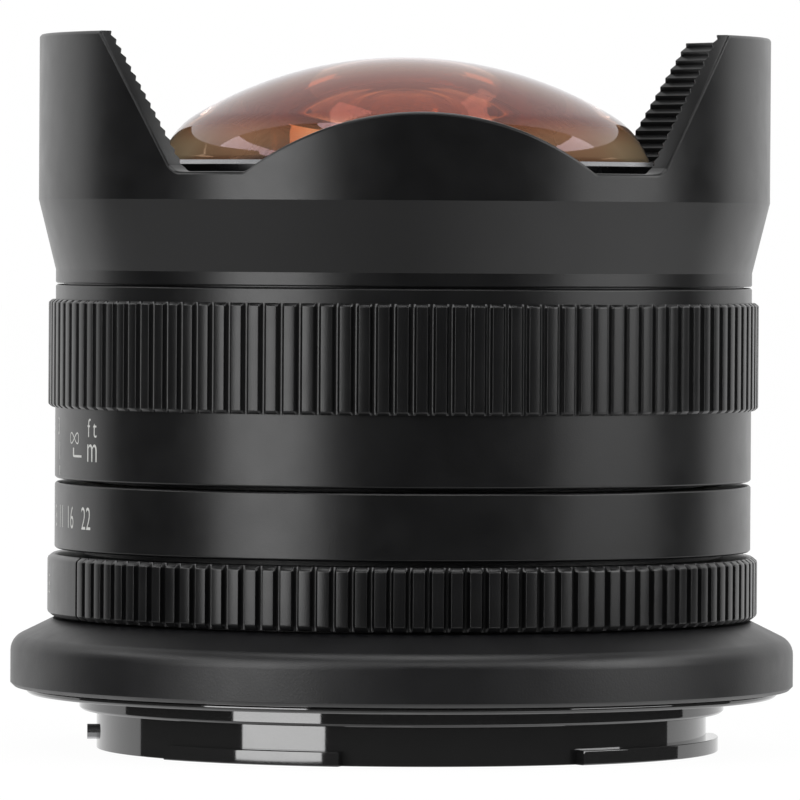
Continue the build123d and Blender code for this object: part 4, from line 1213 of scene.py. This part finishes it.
@dataclass
class PetalHood:
    """Hood with two tall and two low petals, ribbed inside, in millimetres."""

    shop: Workshop
    radius: float = 31.5
    foot_radius: float = 30.0
    socket_radius: float = 28.53
    socket_depth: float = 3.73
    lip_drop: float = 0.16
    lip_edge: float = 0.1
    spigot_radius: float = 29.3
    spigot_depth: float = 0.9
    foot: float = 0.98
    cone: float = 6.03
    band: float = 2.32
    height: float = 11.85
    bore: float = 24.0
    top_wall: float = 1.3
    foot_wall: float = 2.05
    chamfer: float = 0.2
    rim_rounding: tuple[Point, ...] = ((0.0, 1.3), (0.3, 0.7), (0.8, 0.15), (1.4, 0.0))
    inner_edge: float = 0.06
    rib_pitch: float = 0.77
    rib_depth: float = 0.31
    low_rise: float = 5.0
    low_curve: float = 24.0
    foot_x: float = 20.9
    foot_rise: float = 0.55
    top_x: float = 26.6
    blend: float = 0.9
    columns: int = 720

    def inner_floor(self, low: float) -> float:
        """Height of the floor inside and of the dips between the petals, over the hood's foot."""
        return low + self.foot + self.cone + self.band

    def lean(self, floor: float, top: float) -> float:
        """Run of a tall petal's sloping side over its rise."""
        return (self.top_x - self.foot_x) / (top - floor - self.foot_rise)

    def rim(self, angle: float, floor: float, top: float) -> float:
        """Height of the hood's rim at an angle.

        Args:
            angle: Angle round the axis in degrees.
            floor: Height of the dips between petals.
            top: Height of the tall petals.

        Returns:
            Height in millimetres.
        """
        turn = math.radians(angle)
        along_tall = self.radius * abs(math.cos(turn))
        start = self.foot_x - self.blend
        # A tall petal starts with a short blend and then slopes straight up to its top
        if along_tall > start:
            if along_tall < self.foot_x:
                share = (along_tall - start) / self.blend
                return floor + self.foot_rise * share**2
            return min(top, floor + self.foot_rise + (along_tall - self.foot_x) / self.lean(floor, top))
        # A low petal is an arc that ends in the floor
        centre = floor + self.low_rise - self.low_curve
        return max(floor, centre + math.sqrt(max(self.low_curve**2 - along_tall**2, 0.0)))

    def profile(self, low: float, floor: float, rim: float) -> list[Point]:
        """Wall of the hood at one angle, from its foot over the rim to the inner floor.

        Args:
            low: Foot of the hood.
            floor: Height of the floor inside.
            rim: Height of the rim at this angle.

        Returns:
            Points as (radius, height), as many at every angle.
        """
        lip, spigot, socket = low - self.lip_drop, low - self.spigot_depth, low + self.socket_depth
        wall = [
            (self.socket_radius, spigot), (self.spigot_radius, spigot), (self.spigot_radius, lip),
            (self.foot_radius - self.lip_edge, lip), (self.foot_radius, lip + self.lip_edge),
            (self.foot_radius, low + self.foot), (self.radius, low + self.foot + self.cone),
        ]
        wall += [(self.radius - inwards * self.chamfer, rim - down * self.chamfer)
                 for inwards, down in self.rim_rounding]
        inner_rim = rim - self.inner_edge
        corner = (self.ribbed_radius(inner_rim, floor), inner_rim)
        wall += [(corner[0] + self.inner_edge, rim), corner]
        wall += [(self.ribbed_radius(height, floor), height) if height < inner_rim else corner
                 for height in self.rib_heights(floor)]
        return wall + [(self.bore, floor), (self.bore, socket), (self.socket_radius, socket)]

    def rib_heights(self, floor: float) -> list[float]:
        """Heights of the ribs' tips and roots, from the top down to the floor inside.

        Args:
            floor: Height of the floor inside.

        Returns:
            Heights in millimetres.
        """
        half = self.rib_pitch / 2
        heights = [floor + self.height - number * half for number in range(int(self.height / half))]
        return [*heights, floor]

    def ribbed_radius(self, height: float, floor: float) -> float:
        """Inner radius of the wall at a height, with its saw-toothed ribs.

        Args:
            height: Height in millimetres.
            floor: Height of the floor inside.

        Returns:
            Radius in millimetres, least at the tips of the ribs.
        """
        share = (height - floor) / self.height
        tip_radius = self.radius - self.foot_wall + (self.foot_wall - self.top_wall) * share
        half = self.rib_pitch / 2
        phase = (floor + self.height - height) / half % 2
        return tip_radius + self.rib_depth * min(phase, 2 - phase)

    def column_angles(self, floor: float, top: float) -> list[float]:
        """Angles of the hood's columns, with one at every rib that a sloping cut crosses.

        Args:
            floor: Height of the dips between petals.
            top: Height of the tall petals.

        Returns:
            Angles in degrees, in order.
        """
        angles = [360 * column / self.columns for column in range(self.columns)]
        for height in self.rib_heights(floor)[:-1]:
            rise = height + self.inner_edge - floor - self.foot_rise
            along = self.foot_x + rise * self.lean(floor, top)
            turn = math.degrees(math.acos(min(along, self.top_x) / self.radius))
            angles += [turn, 180 - turn, 180 + turn, 360 - turn]
        return sorted(set(angles))

    def build(self) -> None:
        """Turn the hood with its rim."""
        size = span("petal_hood")
        floor = self.inner_floor(size.low)
        angles = self.column_angles(floor, size.high)
        walls = [self.profile(size.low, floor, self.rim(angle, floor, size.high)) for angle in angles]
        points = [
            polar(radius, angle, height) for angle, wall in zip(angles, walls) for radius, height in wall
        ]
        hood = made_object("hood_petals", points, grid_faces(len(angles), len(walls[0])))
        shade(hood, sharp_angle=11.0)
        self.shop.seat(hood, "optical_unit", "body_anodising", "petal_hood")


@dataclass
class FrontGlass:
    """Domed front element and the ring that holds it, in millimetres."""

    shop: Workshop
    dome_curve: float = 34.9
    clear_radius: float = 18.0
    edge_radius: float = 21.1
    edge_height: float = 1.2
    bulge: Point = (20.0, 1.2)
    back_curve: float = 13.5
    back_radius: float = 13.2
    thickness: float = 2.5
    curve_steps: int = 40
    bulge_steps: int = 16
    ring_gap: float = 0.05
    ring_drop: float = 0.12
    ring_chamfer: float = 0.42
    ring_lip: Point = (0.25, 0.2)
    ring_softening: float = 0.05
    bright_inset: float = 0.03
    bright_proud: float = 0.008
    bright_deep: float = -0.04

    def build(self) -> None:
        """Make the glass and its ring."""
        self.dome()
        self.ring()

    def dome(self) -> None:
        """Turn the dome, whose clear part bends down into its edge, with a hollow back."""
        size = span("element_01")
        floor = PetalHood(self.shop).inner_floor(span("petal_hood").low)
        front = []
        for step in range(self.curve_steps + 1):
            radius = self.clear_radius * step / self.curve_steps
            front.append((radius, size.high - self.dome_curve + math.sqrt(self.dome_curve**2 - radius**2)))
        start, end = front[-1], (self.edge_radius, floor + self.edge_height)
        bulge = (self.bulge[0], start[1] - self.bulge[1])
        # A curve with one control point, from the end of the clear part down to the edge
        for step in range(1, self.bulge_steps + 1):
            t = step / self.bulge_steps
            front.append(tuple(
                (1 - t) ** 2 * a + 2 * t * (1 - t) * b + t**2 * c for a, b, c in zip(start, bulge, end)
            ))
        side = [(self.edge_radius, floor), (size.radius, floor), (size.radius, size.low)]
        side.append((self.back_radius, size.low))
        low = size.high - self.thickness
        back = []
        for step in range(1, self.curve_steps + 1):
            radius = self.back_radius * (1 - step / self.curve_steps)
            back.append((radius, low - self.back_curve + math.sqrt(self.back_curve**2 - radius**2)))
        glass = lathe("dome_glass", front + side + back, steps=192)
        self.shop.seat(glass, "optical_unit", "front_glass", "element_01")

    def ring(self) -> None:
        """Turn the retaining ring and a thin band of bright steel laid over its chamfer."""
        size = span("front_retaining_ring")
        high = size.high - self.ring_drop
        edge, inset, inner = self.ring_chamfer, self.bright_inset, self.edge_radius + self.ring_gap
        outline = [
            (inner, size.low), (size.radius, size.low), (size.radius, high - edge),
            (size.radius - edge, high), (inner + self.ring_lip[0], high), (inner, high - self.ring_lip[1]),
        ]
        ring = lathe("ring_front", softened(outline, self.ring_softening))
        self.shop.seat(ring, "optical_unit", "ring_anodising", "front_retaining_ring")
        # A thin shell of bright steel on the chamfer, just proud of the dyed ring, gives the light line along
        # its edge
        ends = [(size.radius - inset, high - edge + inset), (size.radius - edge + inset, high - inset)]
        bright = [(radius + self.bright_proud, height + self.bright_proud) for radius, height in ends]
        ends.reverse()
        bright += [(radius + self.bright_deep, height + self.bright_deep) for radius, height in ends]
        self.shop.seat(lathe("ring_chamfer", bright), "optical_unit", "steel")


def figure(number: float) -> str:
    """Number as it stands on a lens, without a nought before the point."""
    return f"{number:g}".lstrip("0")


@dataclass
class Scales:
    """Figures and lines on the rings: generic numbers and units only, in millimetres and degrees."""

    shop: Workshop
    index: float = 180.0
    infinity: float = 18.7
    throw_per_mm: float = 100 / 0.6
    focal: float = 7.5
    foot_in_metres: float = 0.3048
    upper: float = 4.54
    lower: float = 2.43
    unit_turn: float = 7.3
    figure_height: float = 1.5
    widest_turn: float = 5.0
    stop_turn: float = 8.0

    def build(self) -> None:
        """Write the distance, depth and aperture scales."""
        marks = Marking(self.shop.finishes.white)
        self.distances(marks)
        self.depths(marks)
        self.apertures(marks)

    def distance_angle(self, metres: float) -> float:
        """Angle of a distance's figure, from how far the lens moves out for it.

        Args:
            metres: Distance.

        Returns:
            Angle in degrees.
        """
        shift = self.focal**2 / (metres * 1000)
        return self.index + self.infinity - shift * self.throw_per_mm

    def distances(self, marks: Marking) -> None:
        """Write feet above metres on the focus ring, with infinity and its corner mark first.

        Args:
            marks: Marks so far.
        """
        low = span("focus_ring").low
        upper, lower = low + self.upper, low + self.lower
        start = self.index + self.infinity
        spot = partial(Spot, "focus", Rings.smooth_radius)
        marks.text(spot(start + self.unit_turn, upper), "ft", tall=1.58, wide=1.7, spacing=1.5)
        marks.text(spot(start + self.unit_turn, lower), "m", tall=1.49, wide=1.77)
        marks.infinity(spot(start, low + 3.61), wide=2.1, tall=0.9)
        marks.bar(spot(start - 0.35, lower), wide=0.3, tall=0.72)
        marks.bar(spot(start + 1.45, low + 2.09), wide=1.94, tall=0.19)
        for feet in (3, 1.5, 1, 0.7, 0.5, 0.4):
            angle = self.distance_angle(feet * self.foot_in_metres)
            marks.text(spot(angle, upper), figure(feet), self.figure_height)
        for metres in (1, 0.5, 0.3, 0.2, 0.15, 0.12):
            angle = self.distance_angle(metres)
            marks.text(spot(angle, lower), figure(metres), self.figure_height)
            marks.bar(spot(angle, low + 0.75), wide=0.18, tall=0.8)
        marks.finish("focus", "marks_focus", "focus_group")

    def depths(self, marks: Marking) -> None:
        """Write the depth scale round the index on the fixed band.

        Args:
            marks: Marks so far.
        """
        band = span("scale_band")
        middle = (band.low + band.high) / 2
        spot = partial(Spot, "band", Rings.smooth_radius)
        marks.bar(spot(self.index, middle), wide=0.3, tall=band.high - band.low - 0.5)
        for stop, turn in ((8, 6.0), (11, 11.0), (16, 17.0), (22, 23.8)):
            for side in (-1, 1):
                marks.text(spot(self.index + side * turn, middle + 0.05), figure(stop), tall=1.9)
        marks.finish("band", "marks_band", "root")

    def apertures(self, marks: Marking) -> None:
        """Write the stops in the aperture ring's smooth window.

        Args:
            marks: Marks so far.
        """
        ring = span("aperture_ring")
        middle = (ring.low + ring.high) / 2
        spot = partial(Spot, "aperture", Rings.radius)
        for place, stop in enumerate((2.8, 4, 5.6, 8, 11, 16, 22)):
            angle = self.index + self.widest_turn - self.stop_turn * place
            marks.text(spot(angle, middle + 0.15), figure(stop), tall=1.7)
            marks.bar(spot(angle, ring.high - 0.75), wide=0.2, tall=0.5)
        marks.finish("aperture", "marks_aperture", "aperture_group")


def dress_frame(finishes: Finishes) -> None:
    """Give every CAD node the finish of its slot.

    Args:
        finishes: All finishes of the lens.
    """
    slots = {part["node"]: part["material_slot"] for part in frame["record"]["subparts"]}
    for name, node in frame["nodes"].items():
        finish = finishes.by_slot[slots[name]]
        if not node.material_slots:
            node.data.materials.append(finish)
        for slot in node.material_slots:
            slot.material = finish


def main() -> None:
    """Dress the frame, make the pieces and set up the studio."""
    logging.basicConfig(level=logging.INFO, format="%(name)s: %(message)s")
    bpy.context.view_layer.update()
    camera = Camera()
    camera.build()
    shop = Workshop()
    dress_frame(shop.finishes)
    for assembly in (BayonetMount, MountSkirt, Rings, PetalHood, FrontGlass, Scales):
        assembly(shop).build()
    Studio(span("bayonet_mount").low, camera).build()


if __name__ == "__main__":
    main()
